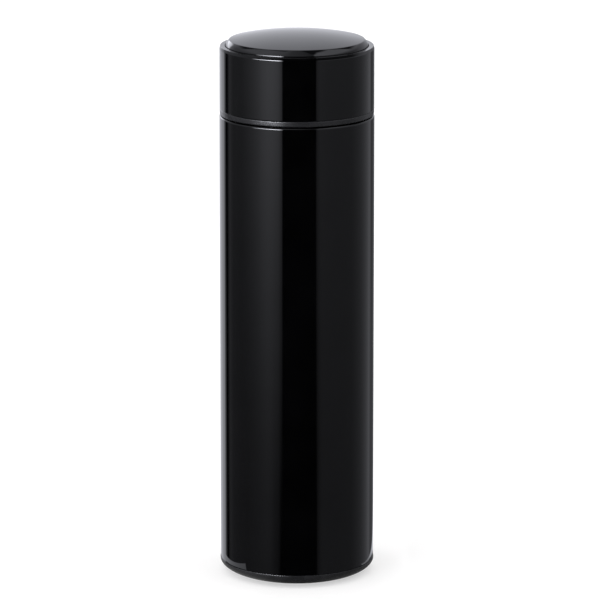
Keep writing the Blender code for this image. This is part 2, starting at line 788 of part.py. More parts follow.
def make_touch_spring(parent):
    """Coil that links the board to the touch spot on the window's underside."""
    wire = 0.35
    bottom = BOARD_BOTTOM + BOARD_THICKNESS + GAP + wire
    top = 228.0
    turns = 4.0
    coil_radius = 3.2
    points = helix(coil_radius, 0.0, (top - bottom) / turns, 0.0, turns, 10)
    centre = Vector((0.0, TOUCH_SPOT_Y, bottom))
    spring_points = [centre + Vector(point) for point in points]
    curve = wire_curve("touch_spring", spring_points, wire)
    return add_object("touch_spring", curve, "spring_steel", parent)


def make_coin_cell(parent):
    """Button cell under the board."""
    edge = 0.3
    seal_width = 1.2
    seal_drop = 0.3
    top = CELL_BOTTOM + CELL_THICKNESS
    outline = [
        (0.0, top),
        (CELL_RADIUS - seal_width, top),
        (CELL_RADIUS - seal_width, top - seal_drop),
        (CELL_RADIUS, top - 2 * seal_drop),
        (CELL_RADIUS, CELL_BOTTOM + edge),
        (CELL_RADIUS - edge, CELL_BOTTOM),
        (0.0, CELL_BOTTOM),
    ]
    return turned("coin_cell", outline, INNER_STEPS, "brushed_steel", parent)


def make_battery_clip(parent):
    """Spring strap under the cell, its legs soldered to the board."""
    thickness = 0.4
    width = 6.0
    leg_clearance = 0.9
    strap_z = CELL_BOTTOM - GAP - thickness
    leg_x = CELL_RADIUS + leg_clearance
    leg_top = BOARD_BOTTOM - GAP
    path = [(-leg_x, leg_top), (-leg_x, strap_z), (leg_x, strap_z), (leg_x, leg_top)]
    return strip("battery_clip", path, width, thickness, "spring_steel", parent)


def make_battery_contact(parent):
    """Flat contact between the cell and the board."""
    bottom = CELL_BOTTOM + CELL_THICKNESS + GAP
    thickness = 0.4
    radius = 5.0
    top = bottom + thickness
    outline = [(0.0, top), (radius, top), (radius, bottom), (0.0, bottom)]
    return turned("battery_contact", outline, SMALL_STEPS, "spring_steel", parent)


def make_temperature_probe(parent):
    """Steel thimble through the plug's floor, its flange inside the plug."""
    bore = PROBE_RADIUS - PROBE_WALL
    flange_top = PROBE_FLANGE_BOTTOM + PROBE_FLANGE
    outline = arc((0.0, PROBE_TIP + PROBE_RADIUS), (bore, bore), 270, 360, 3)
    outline += [
        (bore, flange_top),
        (PROBE_FLANGE_RADIUS, flange_top),
        (PROBE_FLANGE_RADIUS, PROBE_FLANGE_BOTTOM),
        (PROBE_RADIUS, PROBE_FLANGE_BOTTOM),
    ]
    outline += arc((0.0, PROBE_TIP + PROBE_RADIUS), (PROBE_RADIUS, PROBE_RADIUS), 0, -90, 3)
    outline[0] = (0.0, outline[0][1])
    outline[-1] = (0.0, outline[-1][1])
    return turned("temperature_probe", outline, SMALL_STEPS, "brushed_steel", parent)


def make_probe_seal(parent):
    """O-ring round the probe, pinched between its flange and the plug's floor."""
    cord = 0.55
    centre_radius = 3.5
    centre_z = PLUG_BOTTOM + PLUG_FLOOR + GAP + cord
    outline = arc((centre_radius, centre_z), (cord, cord), 90, -225, 7)
    return turned("probe_seal", outline, SMALL_STEPS, "silicone", parent)


def make_thermistor(parent):
    """Sensor bead in the probe's tip."""
    radius = 1.3
    outline = arc((0.0, SENSOR_TOP - radius), (radius, radius), 90, 0, 2)
    outline += arc((0.0, SENSOR_BOTTOM + radius), (radius, radius), 0, -90, 2)
    outline[0] = (0.0, SENSOR_TOP)
    outline[-1] = (0.0, SENSOR_BOTTOM)
    return turned("thermistor", outline, SMALL_STEPS, "solder_glass", parent)


def make_thermistor_lead(parent):
    """Sleeved lead from the sensor, up through the foam and round the cell."""
    radius = 0.5
    flange_clearance = 2.1
    turn_z = PLUG_TOP - flange_clearance
    run_y = -14.0
    bend = 1.6
    cut = 0.3 * bend         # midpoint of each bend, in from its corner
    points = [(0.0, 0.0, SENSOR_TOP + GAP), (0.0, 0.0, turn_z - bend)]
    points.append((0.0, -cut, turn_z - cut))
    points.append((0.0, -bend, turn_z))
    points.append((0.0, run_y + bend, turn_z))
    points.append((0.0, run_y + cut, turn_z + cut))
    points.append((0.0, run_y, turn_z + bend))
    points.append((0.0, run_y, BOARD_BOTTOM - GAP))
    curve = wire_curve("thermistor_lead", points, radius)
    return add_object("thermistor_lead", curve, "wire_sleeve", parent)


def make_screw(name, centre, seat, length, parent):
    """Small pan-head screw standing in its hole."""
    head_top = seat + SCREW_HEAD_HEIGHT
    flat = 0.6 * SCREW_HEAD
    head_edge = 0.5
    point = 0.4
    outline = [
        (0.0, head_top),
        (flat, head_top),
        (SCREW_HEAD, head_top - head_edge),
        (SCREW_HEAD, seat),
        (SCREW_SHANK, seat),
        (SCREW_SHANK, seat - length + point),
        (0.0, seat - length),
    ]
    return turned(name, outline, SMALL_STEPS, "spring_steel", parent, centre=centre)


def make_screws(parent):
    """Three screws hold the board, and three hold the plug to the frame."""
    board_seat = BOARD_BOTTOM + BOARD_THICKNESS + GAP
    deck_seat = DECK_TOP + GAP
    board_screw_length = 3.6
    plug_screw_length = 4.0
    for index in range(3):
        centre = on_circle(BOARD_SCREW_CIRCLE, index, 3)
        make_screw("board_screw_%d" % (index + 1), centre, board_seat, board_screw_length, parent)
        centre = on_circle(PLUG_SCREW_CIRCLE, index, 3, 60)
        make_screw("plug_screw_%d" % (index + 1), centre, deck_seat, plug_screw_length, parent)


# ---------------------------------------------------------------- assembly

def build_flask():
    """Bottle, which stands still."""
    frame = add_frame("flask_frame")
    make_outer_shell(frame)
    make_inner_vessel(frame)
    make_bottom_plate(frame)
    make_vacuum_seal(frame)
    make_getter(frame)
    make_getter_strap(frame)
    make_heat_shield(frame)
    make_base_cup(frame)
    make_foot_pad(frame)


def build_seal():
    """Sealing ring, which rises with the lid and doesn't turn."""
    make_sealing_ring(add_frame("seal_frame"))


def build_lid():
    """Lid, which turns about Z and rises by one pitch each turn."""
    frame = add_frame("lid_frame")
    makers = [
        make_lid_sleeve, make_lid_trim_ring, make_lid_core, make_screw_plug, make_plug_insulation,
        make_display_lens, make_lens_gasket, make_circuit_board, make_display, make_control_chip,
        make_touch_spring, make_coin_cell, make_battery_clip, make_battery_contact,
        make_temperature_probe, make_probe_seal, make_thermistor, make_thermistor_lead, make_screws,
    ]
    for maker in makers:
        maker(frame)


def main():
    clear_scene()
    new_collection(COLLECTION_NAME)
    new_collection("cutters")
    build_flask()
    build_seal()
    build_lid()
    bpy.context.view_layer.update()


main()
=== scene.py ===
"""Looks of the vacuum flask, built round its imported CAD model.

Round pieces are turned again at a fine resolution, with real thread ridges. Lengths are
millimetres in the outlines; the mesh helpers turn them into metres. Every material is made
of shader nodes. The gloss black walls mirror the room, which is given as light levels by
direction: a strong low key light at the front left, a weak side light at the right, a light
back, and dark bands in front and overhead.
"""
import json
import math

import bmesh
import bpy
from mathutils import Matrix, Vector


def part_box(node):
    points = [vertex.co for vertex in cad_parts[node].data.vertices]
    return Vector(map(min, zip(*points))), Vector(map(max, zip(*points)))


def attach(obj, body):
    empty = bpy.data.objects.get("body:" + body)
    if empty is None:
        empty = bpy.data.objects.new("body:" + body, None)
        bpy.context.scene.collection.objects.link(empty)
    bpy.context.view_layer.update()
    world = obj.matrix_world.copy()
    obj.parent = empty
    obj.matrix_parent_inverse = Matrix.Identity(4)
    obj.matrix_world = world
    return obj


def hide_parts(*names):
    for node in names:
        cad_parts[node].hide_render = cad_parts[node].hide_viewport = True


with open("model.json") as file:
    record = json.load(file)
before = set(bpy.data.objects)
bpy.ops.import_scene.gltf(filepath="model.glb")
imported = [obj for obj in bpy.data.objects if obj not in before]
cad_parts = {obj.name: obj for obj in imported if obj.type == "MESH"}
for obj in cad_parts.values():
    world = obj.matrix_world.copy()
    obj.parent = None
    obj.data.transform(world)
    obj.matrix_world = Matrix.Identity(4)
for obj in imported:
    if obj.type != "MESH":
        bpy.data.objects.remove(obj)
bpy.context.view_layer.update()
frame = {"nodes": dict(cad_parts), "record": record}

MM = 0.001
STEPS = 256                 # facets round the big turned pieces
SMALL_STEPS = 64
FINE_STEPS = 192            # facets round threaded pieces


# -------------------- sizes read from the CAD model

def node_size(node):
    """Largest radius or half width, lowest and highest point of a CAD node, in millimetres."""
    low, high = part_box(node)
    return (high.x - low.x) / 2 / MM, low.z / MM, high.z / MM


SHELL_R, SHELL_LOW, NECK_TOP = node_size("outer_shell")
VESSEL_R, VESSEL_LOW, LIP_TOP = node_size("inner_vessel")
BASE_R, BASE_LOW, BASE_TOP = node_size("base_cup")
PAD_R, PAD_LOW, PAD_TOP = node_size("foot_pad")
SEAL_R, SEAL_LOW, SEAL_TOP = node_size("sealing_ring")
SLEEVE_R, SLEEVE_LOW, RIM_TOP = node_size("lid_sleeve")
TRIM_R, TRIM_LOW, TRIM_COLLAR_TOP = node_size("lid_trim_ring")
FLANGE_R, LENS_LOW, LENS_TOP = node_size("display_lens")
PLATE_R, PLATE_LOW, PLATE_TOP = node_size("bottom_plate")
PLUG_FLANGE_R, PLUG_LOW, PLUG_TOP = node_size("screw_plug")
PROBE_FLANGE_R, PROBE_TIP, PROBE_TOP = node_size("temperature_probe")
CELL_R, CELL_LOW, CELL_TOP = node_size("coin_cell")
SPRING_LOW, SPRING_TOP = node_size("touch_spring")[1:]
LEAD_LOW, LEAD_TOP = node_size("thermistor_lead")[1:]
STEEL = 0.6                 # thickness of every steel wall
SHOULDER_Z = 196.9
HAIRLINE = 0.06             # gap left between the shell and the base cup

# The thread between the neck and the plug
NECK_BORE = 24.0
PLUG_R = 22.0
THREAD_PITCH = 4.0
THREAD_TURNS = 2.0
THREAD_HALF_WIDTH = 0.9
THREAD_FADE = 0.3           # turns over which a ridge grows at each end
THREAD_CROWN = 0.6          # exponent of the ridge's profile: smaller is flatter
NECK_THREAD_Z = 199.6
PLUG_THREAD_Z = NECK_THREAD_Z - THREAD_PITCH / 2
PLUG_THREAD_START = 0.4     # turns after which the plug's ridge starts
NECK_CREST = 1.4            # how far the ridges stand out
PLUG_CREST = 1.2

# Finishes of the slots, as the record gives them
SLOT_COLOUR = {entry["slot"]: tuple(entry["base_color"][:3]) for entry in frame["record"]["materials"]}


# -------------------- mesh helpers

def arc(centre, radii, start_deg, end_deg, segments):
    """Points (r, z) along an arc; radii is one radius, or the two of an ellipse."""
    across, up = radii if isinstance(radii, tuple) else (radii, radii)
    points = []
    for index in range(segments + 1):
        angle = math.radians(start_deg + (end_deg - start_deg) * index / segments)
        radius = centre[0] + across * math.cos(angle)
        points.append((max(radius, 0.0), centre[1] + up * math.sin(angle)))
    return points


def with_holding_loops(outline, margin=0.15):
    """Add a point near both ends of each long run, so that flats shade flat beside roundings."""
    points = []
    closed = not (outline[0][0] == 0.0 and outline[-1][0] == 0.0)
    count = len(outline)
    for index in range(count if closed else count - 1):
        start, end = Vector(outline[index]), Vector(outline[(index + 1) % count])
        points.append(tuple(start))
        length = (end - start).length
        if length > 4 * margin:
            points.append(tuple(start + (end - start) * (margin / length)))
            points.append(tuple(end - (end - start) * (margin / length)))
    if not closed:
        points.append(outline[-1])
    return points


def finish_mesh(builder, name, sharp_deg=32.0):
    """A smooth-shaded object from a bmesh, with its hard corners kept sharp."""
    bmesh.ops.recalc_face_normals(builder, faces=builder.faces)
    mesh = bpy.data.meshes.new(name)
    builder.to_mesh(mesh)
    builder.free()
    mesh.polygons.foreach_set("use_smooth", [True] * len(mesh.polygons))
    mesh.set_sharp_from_angle(angle=math.radians(sharp_deg))
    piece = bpy.data.objects.new(name, mesh)
    bpy.context.scene.collection.objects.link(piece)
    return piece


def add_turned(builder, outline, steps, centre=(0.0, 0.0), relief=None):
    """Turn an outline round a vertical axis; relief(r, z, angle) gives each point's new r, z."""
    closed = not (outline[0][0] == 0.0 and outline[-1][0] == 0.0)
    rings = []
    for radius, height in outline:
        if radius == 0.0:
            rings.append([builder.verts.new((centre[0] * MM, centre[1] * MM, height * MM))])
            continue
        ring = []
        for step in range(steps):
            angle = math.tau * step / steps
            r, z = relief(radius, height, angle) if relief else (radius, height)
            x = centre[0] + r * math.cos(angle)
            y = centre[1] + r * math.sin(angle)
            ring.append(builder.verts.new((x * MM, y * MM, z * MM)))
        rings.append(ring)
    pairs = list(zip(rings, rings[1:]))
    if closed:
        pairs.append((rings[-1], rings[0]))
    for upper, lower in pairs:
        for step in range(steps):
            following = (step + 1) % steps
            if len(upper) == 1:
                builder.faces.new((upper[0], lower[step], lower[following]))
            elif len(lower) == 1:
                builder.faces.new((upper[step], lower[0], upper[following]))
            else:
                builder.faces.new((upper[step], lower[step], lower[following], upper[following]))


def turned(name, outline, steps=STEPS, centre=(0.0, 0.0), relief=None):
    """One turned piece."""
    builder = bmesh.new()
    add_turned(builder, with_holding_loops(outline), steps, centre, relief)
    return finish_mesh(builder, name)


def bowed(start, end, bow, segments):
    """Points between two ends of a slightly crowned face, without the ends themselves."""
    outward = Vector((start.y - end.y, end.x - start.x)).normalized()
    points = []
    for index in range(1, segments):
        share = index / segments
        points.append(tuple(start.lerp(end, share) + outward * (4.0 * bow * share * (1.0 - share))))
    return points


def wall(radius, start_z, end_z, spacing=0.3):
    """Closely spaced points along a straight wall, for a relief to work on."""
    count = max(1, round(abs(end_z - start_z) / spacing))
    return [(radius, start_z + (end_z - start_z) * index / count) for index in range(count + 1)]


def thread_ridge(height, angle, start_z, first_turn, crest):
    """How far a right-hand thread ridge stands out at this height and angle."""
    ridge = 0.0
    last_turn = first_turn + THREAD_TURNS
    turn = angle / math.tau
    while turn <= last_turn:
        offset = (height - start_z - THREAD_PITCH * turn) / THREAD_HALF_WIDTH
        if turn >= first_turn and abs(offset) < 1.0:
            grown = min(1.0, (turn - first_turn) / THREAD_FADE, (last_turn - turn) / THREAD_FADE)
            ridge = max(ridge, crest * grown * (1.0 - offset ** 2) ** THREAD_CROWN)
        turn += 1.0
    return ridge


def tube(name, points, radius, sides=12):
    """A round wire along points in millimetres, its ends a little smaller."""
    end_share = 0.7
    path = [Vector(point) for point in points]
    last = len(path) - 1
    across = None
    builder = bmesh.new()
    rings = []
    for index, point in enumerate(path):
        along = (path[min(index + 1, last)] - path[max(index - 1, 0)]).normalized()
        if across is None:
            across = along.orthogonal()
        across = (across - along * across.dot(along)).normalized()
        third = along.cross(across)
        reach = radius * (end_share if index in (0, last) else 1.0)
        ring = []
        for side in range(sides):
            angle = math.tau * side / sides
            corner = point + (across * math.cos(angle) + third * math.sin(angle)) * reach
            ring.append(builder.verts.new(corner * MM))
        rings.append(ring)
    for first, second in zip(rings, rings[1:]):
        for side in range(sides):
            following = (side + 1) % sides
            builder.faces.new((first[side], first[following], second[following], second[side]))
    builder.faces.new(reversed(rings[0]))
    builder.faces.new(rings[-1])
    return finish_mesh(builder, name, 60.0)


def repaint(material, *nodes):
    """Give CAD nodes that stay a finished material."""
    for node in nodes:
        for place_in_mesh in frame["nodes"][node].material_slots:
            place_in_mesh.material = material


def place(piece, body, slot, material, *nodes):
    """Give a piece its material, its CAD body and the nodes that it stands for."""
    piece.data.materials.clear()
    piece.data.materials.append(material)
    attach(piece, body)
    if nodes:
        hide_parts(*nodes)


# -------------------- shader nodes

def add_node(tree, kind, inputs=None, **settings):
    """A node with its settings; an input is a value, or the socket that it is linked to."""
    made = tree.nodes.new(kind)
    for key, value in settings.items():
        setattr(made, key, value)
    for key, value in (inputs or {}).items():
        if isinstance(value, bpy.types.NodeSocket):
            tree.links.new(value, made.inputs[key])
        else:
            made.inputs[key].default_value = value
    return made


def add_math(tree, operation, first, second=0.0):
    """Result of one sum on two values or sockets."""
    return add_node(tree, "ShaderNodeMath", {0: first, 1: second}, operation=operation).outputs[0]


class Shader:
    """Short calls for building one Principled material."""

    def __init__(self, name, colour, roughness, metallic=0.0, **settings):
        self.material = bpy.data.materials.new(name)
        self.material.use_nodes = True
        self.tree = self.material.node_tree
        self.surface = self.tree.nodes["Principled BSDF"]
        self.set("Base Color", (*colour, 1.0))
        self.set("Roughness", roughness)
        self.set("Metallic", metallic)
        for socket, value in settings.items():
            self.set(socket.replace("_", " "), value)
        self.place = self.tree.nodes.new("ShaderNodeTexCoord").outputs["Object"]
        self.normal = None

    def set(self, socket, value):
        """Set an input of the surface."""
        self.surface.inputs[socket].default_value = value

    def node(self, kind, inputs=None, **settings):
        """A node of this material."""
        return add_node(self.tree, kind, inputs, **settings)

    def math(self, operation, first, second=0.0):
        """Result of one sum in this material."""
        return add_math(self.tree, operation, first, second)

    def vector(self, operation, first, second):
        """Result of one sum on two vectors; multiplying draws a texture out along one way."""
        return self.node("ShaderNodeVectorMath", {0: first, 1: second}, operation=operation).outputs[0]

    def noise(self, size_mm, detail=3.0, where=None):
        """Noise with features of about this size."""
        inputs = {"Vector": where or self.place, "Scale": 1.0 / (size_mm * MM), "Detail": detail,
                  "Roughness": 0.55}
        return self.node("ShaderNodeTexNoise", inputs).outputs["Fac"]

    def cells(self, size_mm, feature="F1", where=None):
        """Distance in a pattern of cells of about this size."""
        inputs = {"Vector": where or self.place, "Scale": 1.0 / (size_mm * MM)}
        return self.node("ShaderNodeTexVoronoi", inputs, feature=feature).outputs["Distance"]

    def spread(self, value, low=0.0, high=1.0, from_low=0.3, from_high=0.7, smooth=False):
        """Map a texture's usual range to low..high."""
        inputs = {"Value": value, "From Min": from_low, "From Max": from_high, "To Min": low,
                  "To Max": high}
        made = self.node("ShaderNodeMapRange", inputs)
        if smooth:
            made.interpolation_type = "SMOOTHSTEP"
        return made.outputs["Result"]

    def tint(self, value, dark, light):
        """Colour between two tones."""
        first_colour, second_colour, mixed_colour = 6, 7, 2
        inputs = {0: value, first_colour: (*dark, 1.0), second_colour: (*light, 1.0)}
        made = self.node("ShaderNodeMix", inputs, data_type="RGBA")
        self.tree.links.new(made.outputs[mixed_colour], self.surface.inputs["Base Color"])

    def roughness(self, value):
        """Let a texture drive the roughness."""
        self.tree.links.new(value, self.surface.inputs["Roughness"])

    def bump(self, height, depth_mm):
        """Add relief of this depth; several calls add up."""
        inputs = {"Height": height, "Distance": depth_mm * MM, "Strength": 1.0}
        if self.normal:
            inputs["Normal"] = self.normal
        self.normal = self.node("ShaderNodeBump", inputs).outputs["Normal"]
        self.tree.links.new(self.normal, self.surface.inputs["Normal"])

    def around(self):
        """Vector (way round Z, radius, height) in metres, for brushing along the turning."""
        usual_radius = 0.03
        split = self.node("ShaderNodeSeparateXYZ", {0: self.place}).outputs
        angle = self.math("ARCTAN2", split[1], split[0])
        square = self.math("ADD", self.math("MULTIPLY", split[0], split[0]),
                           self.math("MULTIPLY", split[1], split[1]))
        radius = self.math("SQRT", square)
        inputs = {0: self.math("MULTIPLY", angle, usual_radius), 1: radius, 2: split[2]}
        return self.node("ShaderNodeCombineXYZ", inputs).outputs[0]


def scaled(colour, factor, lift=0.0):
    """A colour made darker or lighter, at most white."""
    return tuple(min(1.0, channel * factor + lift) for channel in colour)


def lacquer(name, seed_mm):
    """High-gloss black lacquer: faint orange peel, dust nibs, wiping haze."""
    shader = Shader(name, (0.0004, 0.0004, 0.0005), 0.03, IOR=1.5)
    shifted = shader.vector("ADD", shader.place, (seed_mm * MM, 0.0, 0.0))
    haze = shader.noise(18.0, 4.0, shifted)
    shader.tint(shader.spread(haze), (0.0002, 0.0002, 0.00025), (0.0006, 0.0006, 0.0007))
    wiped = shader.noise(7.0, 2.0, shader.vector("MULTIPLY", shader.place, (1.0, 1.0, 0.18)))
    shader.roughness(shader.math("ADD", shader.spread(haze, 0.018, 0.036),
                                 shader.spread(wiped, 0.0, 0.012)))
    shader.bump(shader.noise(1.6, 1.0, shifted), 0.00035)
    nibs = shader.spread(shader.cells(3.1, where=shifted), 1.0, 0.0, 0.0, 0.035, True)
    shader.bump(nibs, 0.0012)
    return shader.material


def window_gloss():
    """Polished dark polycarbonate: very smooth, with a few hairline scratches."""
    shader = Shader("window_black", (0.0004, 0.0004, 0.0005), 0.02, IOR=1.52)
    haze = shader.noise(9.0, 3.0)
    shader.tint(shader.spread(haze), (0.0002, 0.0002, 0.0003), (0.0006, 0.0006, 0.0008))
    scratches = shader.noise(0.35, 0.0, shader.vector("MULTIPLY", shader.place, (1.0, 0.03, 1.0)))
    hairs = shader.spread(scratches, 0.0, 1.0, 0.80, 0.86, True)
    shader.roughness(shader.math("ADD", shader.spread(haze, 0.012, 0.024),
                                 shader.math("MULTIPLY", hairs, 0.04)))
    shader.bump(hairs, 0.0001)
    return shader.material


def satin(name, colour, roughness, grain_mm=0.16, depth_mm=0.012):
    """Moulded plastic with a spark-eroded grain, polished a little where it is handled."""
    shader = Shader(name, colour, roughness, IOR=1.49)
    grain = shader.noise(grain_mm, 2.0)
    patches = shader.noise(6.0, 3.0)
    shader.tint(shader.spread(patches), scaled(colour, 0.75), scaled(colour, 1.3))
    shader.roughness(shader.spread(patches, roughness - 0.04, roughness + 0.05))
    shader.bump(grain, depth_mm)
    return shader.material


def turned_steel(name, colour, roughness, line_mm=0.05, depth_mm=0.004):
    """Metal brushed along the turning, with fine lines and slight stains."""
    shader = Shader(name, colour, roughness, 1.0)
    drawn = shader.vector("MULTIPLY", shader.around(), (0.02, 1.0, 1.0))
    lines = shader.noise(line_mm, 2.0, drawn)
    stains = shader.noise(8.0, 3.0)
    shader.tint(shader.spread(lines), scaled(colour, 0.88), scaled(colour, 1.08))
    shader.roughness(shader.math("ADD", shader.spread(lines, roughness - 0.05, roughness + 0.07),
                                 shader.spread(stains, -0.03, 0.03)))
    shader.bump(lines, depth_mm)
    return shader.material


def rubber(name, colour, roughness, speck_mm=0.4):
    """Matt rubber with a fine tooth and a little dust."""
    shader = Shader(name, colour, roughness, IOR=1.5)
    tooth = shader.noise(0.12, 2.0)
    dust = shader.noise(speck_mm, 5.0)
    shader.tint(shader.spread(dust, 0.0, 1.0, 0.5, 0.8), colour, scaled(colour, 1.7, 0.004))
    shader.roughness(shader.spread(dust, roughness - 0.06, roughness + 0.08))
    shader.bump(tooth, 0.015)
    return shader.material


def foil():
    """Thin rolled foil, crumpled in large and small creases."""
    colour = SLOT_COLOUR["aluminium_foil"]
    shader = Shader("aluminium_foil", colour, 0.2, 1.0)
    creases = shader.cells(7.0, "DISTANCE_TO_EDGE")
    wrinkles = shader.noise(1.8, 4.0)
    shader.tint(shader.spread(wrinkles), scaled(colour, 0.85), colour)
    shader.roughness(shader.spread(wrinkles, 0.14, 0.30))
    shader.bump(shader.spread(creases, 0.0, 1.0, 0.0, 0.12, True), 0.12)
    shader.bump(wrinkles, 0.06)
    return shader.material


def sintered():
    """Dull grey pressed powder with open pores."""
    colour = SLOT_COLOUR["getter_alloy"]
    shader = Shader("getter_alloy", colour, 0.6, 0.7)
    grains = shader.cells(0.28)
    clumps = shader.noise(1.2, 5.0)
    shader.tint(shader.spread(clumps), scaled(colour, 0.6), colour)
    shader.roughness(shader.spread(clumps, 0.5, 0.75))
    shader.bump(grains, 0.05)
    return shader.material


def glass_bead():
    """Dark solder glass, flowed smooth, with small bubbles."""
    colour = SLOT_COLOUR["solder_glass"]
    shader = Shader("solder_glass", colour, 0.12, IOR=1.6)
    bubbles = shader.spread(shader.cells(0.5), 1.0, 0.0, 0.0, 0.3, True)
    streaks = shader.noise(1.1, 4.0)
    shader.tint(shader.spread(streaks), scaled(colour, 0.7), colour)
    shader.roughness(shader.spread(bubbles, 0.08, 0.22, 0.0, 1.0))
    shader.bump(bubbles, 0.01)
    return shader.material


def silicone():
    """Soft moulded silicone: a little light goes in, with a fine dusty bloom."""
    colour = SLOT_COLOUR["seal_silicone"]
    shader = Shader("seal_silicone", colour, 0.42, IOR=1.41, Subsurface_Weight=0.25,
                    Subsurface_Scale=0.002)
    bloom = shader.noise(1.5, 5.0)
    shader.tint(shader.spread(bloom), colour, scaled(colour, 1.15))
    shader.roughness(shader.spread(bloom, 0.36, 0.52))
    shader.bump(shader.noise(0.2, 2.0), 0.006)
    return shader.material


def foam():
    """Expanded bead foam: cells of about a millimetre with finer ones in them."""
    colour = SLOT_COLOUR["white_foam"]
    shader = Shader("white_foam", colour, 0.85, Subsurface_Weight=0.15, Subsurface_Scale=0.003)
    beads = shader.cells(2.2, "DISTANCE_TO_EDGE")
    pores = shader.cells(0.35)
    edges = shader.spread(beads, 0.0, 1.0, 0.0, 0.15, True)
    shader.tint(edges, scaled(colour, 0.82), colour)
    shader.roughness(shader.spread(pores, 0.78, 0.92, 0.0, 0.8))
    shader.bump(shader.spread(beads, 0.0, 1.0, 0.0, 0.2, True), 0.15)
    shader.bump(pores, 0.05)
    return shader.material


def solder_mask():
    """Glossy green mask over copper tracks laid out square, with glass weave showing through."""
    colour = SLOT_COLOUR["board_green"]
    shader = Shader("board_green", colour, 0.28, IOR=1.5)
    inputs = {"Vector": shader.place, "Scale": 1.0 / (1.6 * MM), "Randomness": 1.0}
    blocks = shader.node("ShaderNodeTexVoronoi", inputs, feature="F1", distance="CHEBYCHEV")
    tracks = shader.spread(blocks.outputs["Distance"], 0.0, 1.0, 0.42, 0.47, True)
    weave = shader.node("ShaderNodeTexWave", {"Vector": shader.place, "Scale": 900.0},
                        wave_type="BANDS").outputs["Fac"]
    shader.tint(tracks, colour, scaled(colour, 2.2, 0.01))
    shader.roughness(shader.spread(tracks, 0.24, 0.34, 0.0, 1.0))
    shader.bump(tracks, 0.03)
    shader.bump(weave, 0.004)
    return shader.material


def film(name, colour, roughness, **settings):
    """Thin printed or frosted sheet with a very fine grain."""
    shader = Shader(name, colour, roughness, **settings)
    grain = shader.noise(0.1, 2.0)
    shade = shader.noise(4.0, 3.0)
    shader.tint(shader.spread(shade), scaled(colour, 0.92), colour)
    shader.roughness(shader.spread(grain, roughness - 0.05, roughness + 0.08))
    shader.bump(grain, 0.005)
    return shader.material


BODY_LACQUER = lacquer("body_lacquer", 0.0)
LID_LACQUER = lacquer("lid_lacquer", 57.0)
WINDOW = window_gloss()
SATIN_BLACK = satin("satin_black", (0.007, 0.007, 0.0075), 0.26)
STEEL_BRUSHED = turned_steel("brushed_steel", (0.56, 0.56, 0.57), 0.30)
FOOT_RUBBER = rubber("foot_rubber", (0.020, 0.020, 0.021), 0.75)
GASKET_RUBBER = rubber("gasket_rubber", SLOT_COLOUR["gasket_rubber"], 0.6)
PROBE_STEEL = turned_steel("probe_steel", SLOT_COLOUR["probe_steel"], 0.20, 0.03, 0.001)
CELL_STEEL = turned_steel("cell_steel", SLOT_COLOUR["cell_steel"], 0.26, 0.08, 0.002)
SPRING_STEEL = turned_steel("spring_steel", SLOT_COLOUR["spring_steel"], 0.24, 0.06, 0.001)
SCREW_STEEL = turned_steel("screw_steel", SLOT_COLOUR["screw_steel"], 0.34, 0.05, 0.002)
PLUG_PLASTIC = satin("plug_polypropylene", SLOT_COLOUR["plug_polypropylene"], 0.42, 0.2, 0.01)
BLACK_ABS = satin("black_abs", SLOT_COLOUR["black_abs"], 0.5, 0.18, 0.012)
FOIL = foil()
SINTERED = sintered()
GLASS_BEAD = glass_bead()
SILICONE = silicone()
FOAM = foam()
SOLDER_MASK = solder_mask()
DISPLAY_FACE = film("display_grey", SLOT_COLOUR["display_grey"], 0.4)
DIFFUSER = film("diffuser_white", SLOT_COLOUR["diffuser_white"], 0.5, Subsurface_Weight=0.2,
                Subsurface_Scale=0.001)
WIRE_SLEEVE = film("wire_sleeve", SLOT_COLOUR["wire_sleeve"], 0.35)


# -------------------- flask

def build_shell():
    """Lacquered outer wall down to the foot recess, and its bare steel neck."""
    inside = SHELL_R - STEEL
    neck_inside = 26.3
    neck_outside = neck_inside + STEEL
    shoulder = 0.7
    foot = 0.2
    fillet = 0.7
    inner_corner = 0.4
    foot_z = BASE_TOP + HAIRLINE
    recess = 29.6
    outline = [(neck_outside + fillet, SHOULDER_Z)]
    outline += arc((SHELL_R - shoulder, SHOULDER_Z - shoulder), shoulder, 90, 0, 12)
    outline += arc((SHELL_R - foot, foot_z + foot), foot, 0, -90, 6)
    outline += [(recess, foot_z), (recess, SHELL_LOW), (recess - STEEL, SHELL_LOW)]
    outline += [(recess - STEEL, foot_z + STEEL), (inside, foot_z + STEEL)]
    outline += [(inside, SHOULDER_Z - STEEL - inner_corner), (inside - inner_corner, SHOULDER_Z - STEEL)]
    outline += [(neck_outside + fillet, SHOULDER_Z - STEEL)]
    shell = turned("outer_shell_lacquered", outline)
    place(shell, "flask", "body_lacquer", BODY_LACQUER, "outer_shell")
    neck = arc((neck_outside + fillet, SHOULDER_Z + fillet), fillet, 270, 180, 6)
    neck += [(neck_outside, NECK_TOP), (neck_inside, NECK_TOP), (neck_inside, SHOULDER_Z - STEEL)]
    neck += [(neck_outside + fillet, SHOULDER_Z - STEEL)]
    sleeve = turned("neck_sleeve_bare", neck)
    place(sleeve, "flask", "brushed_steel", STEEL_BRUSHED, "outer_shell")


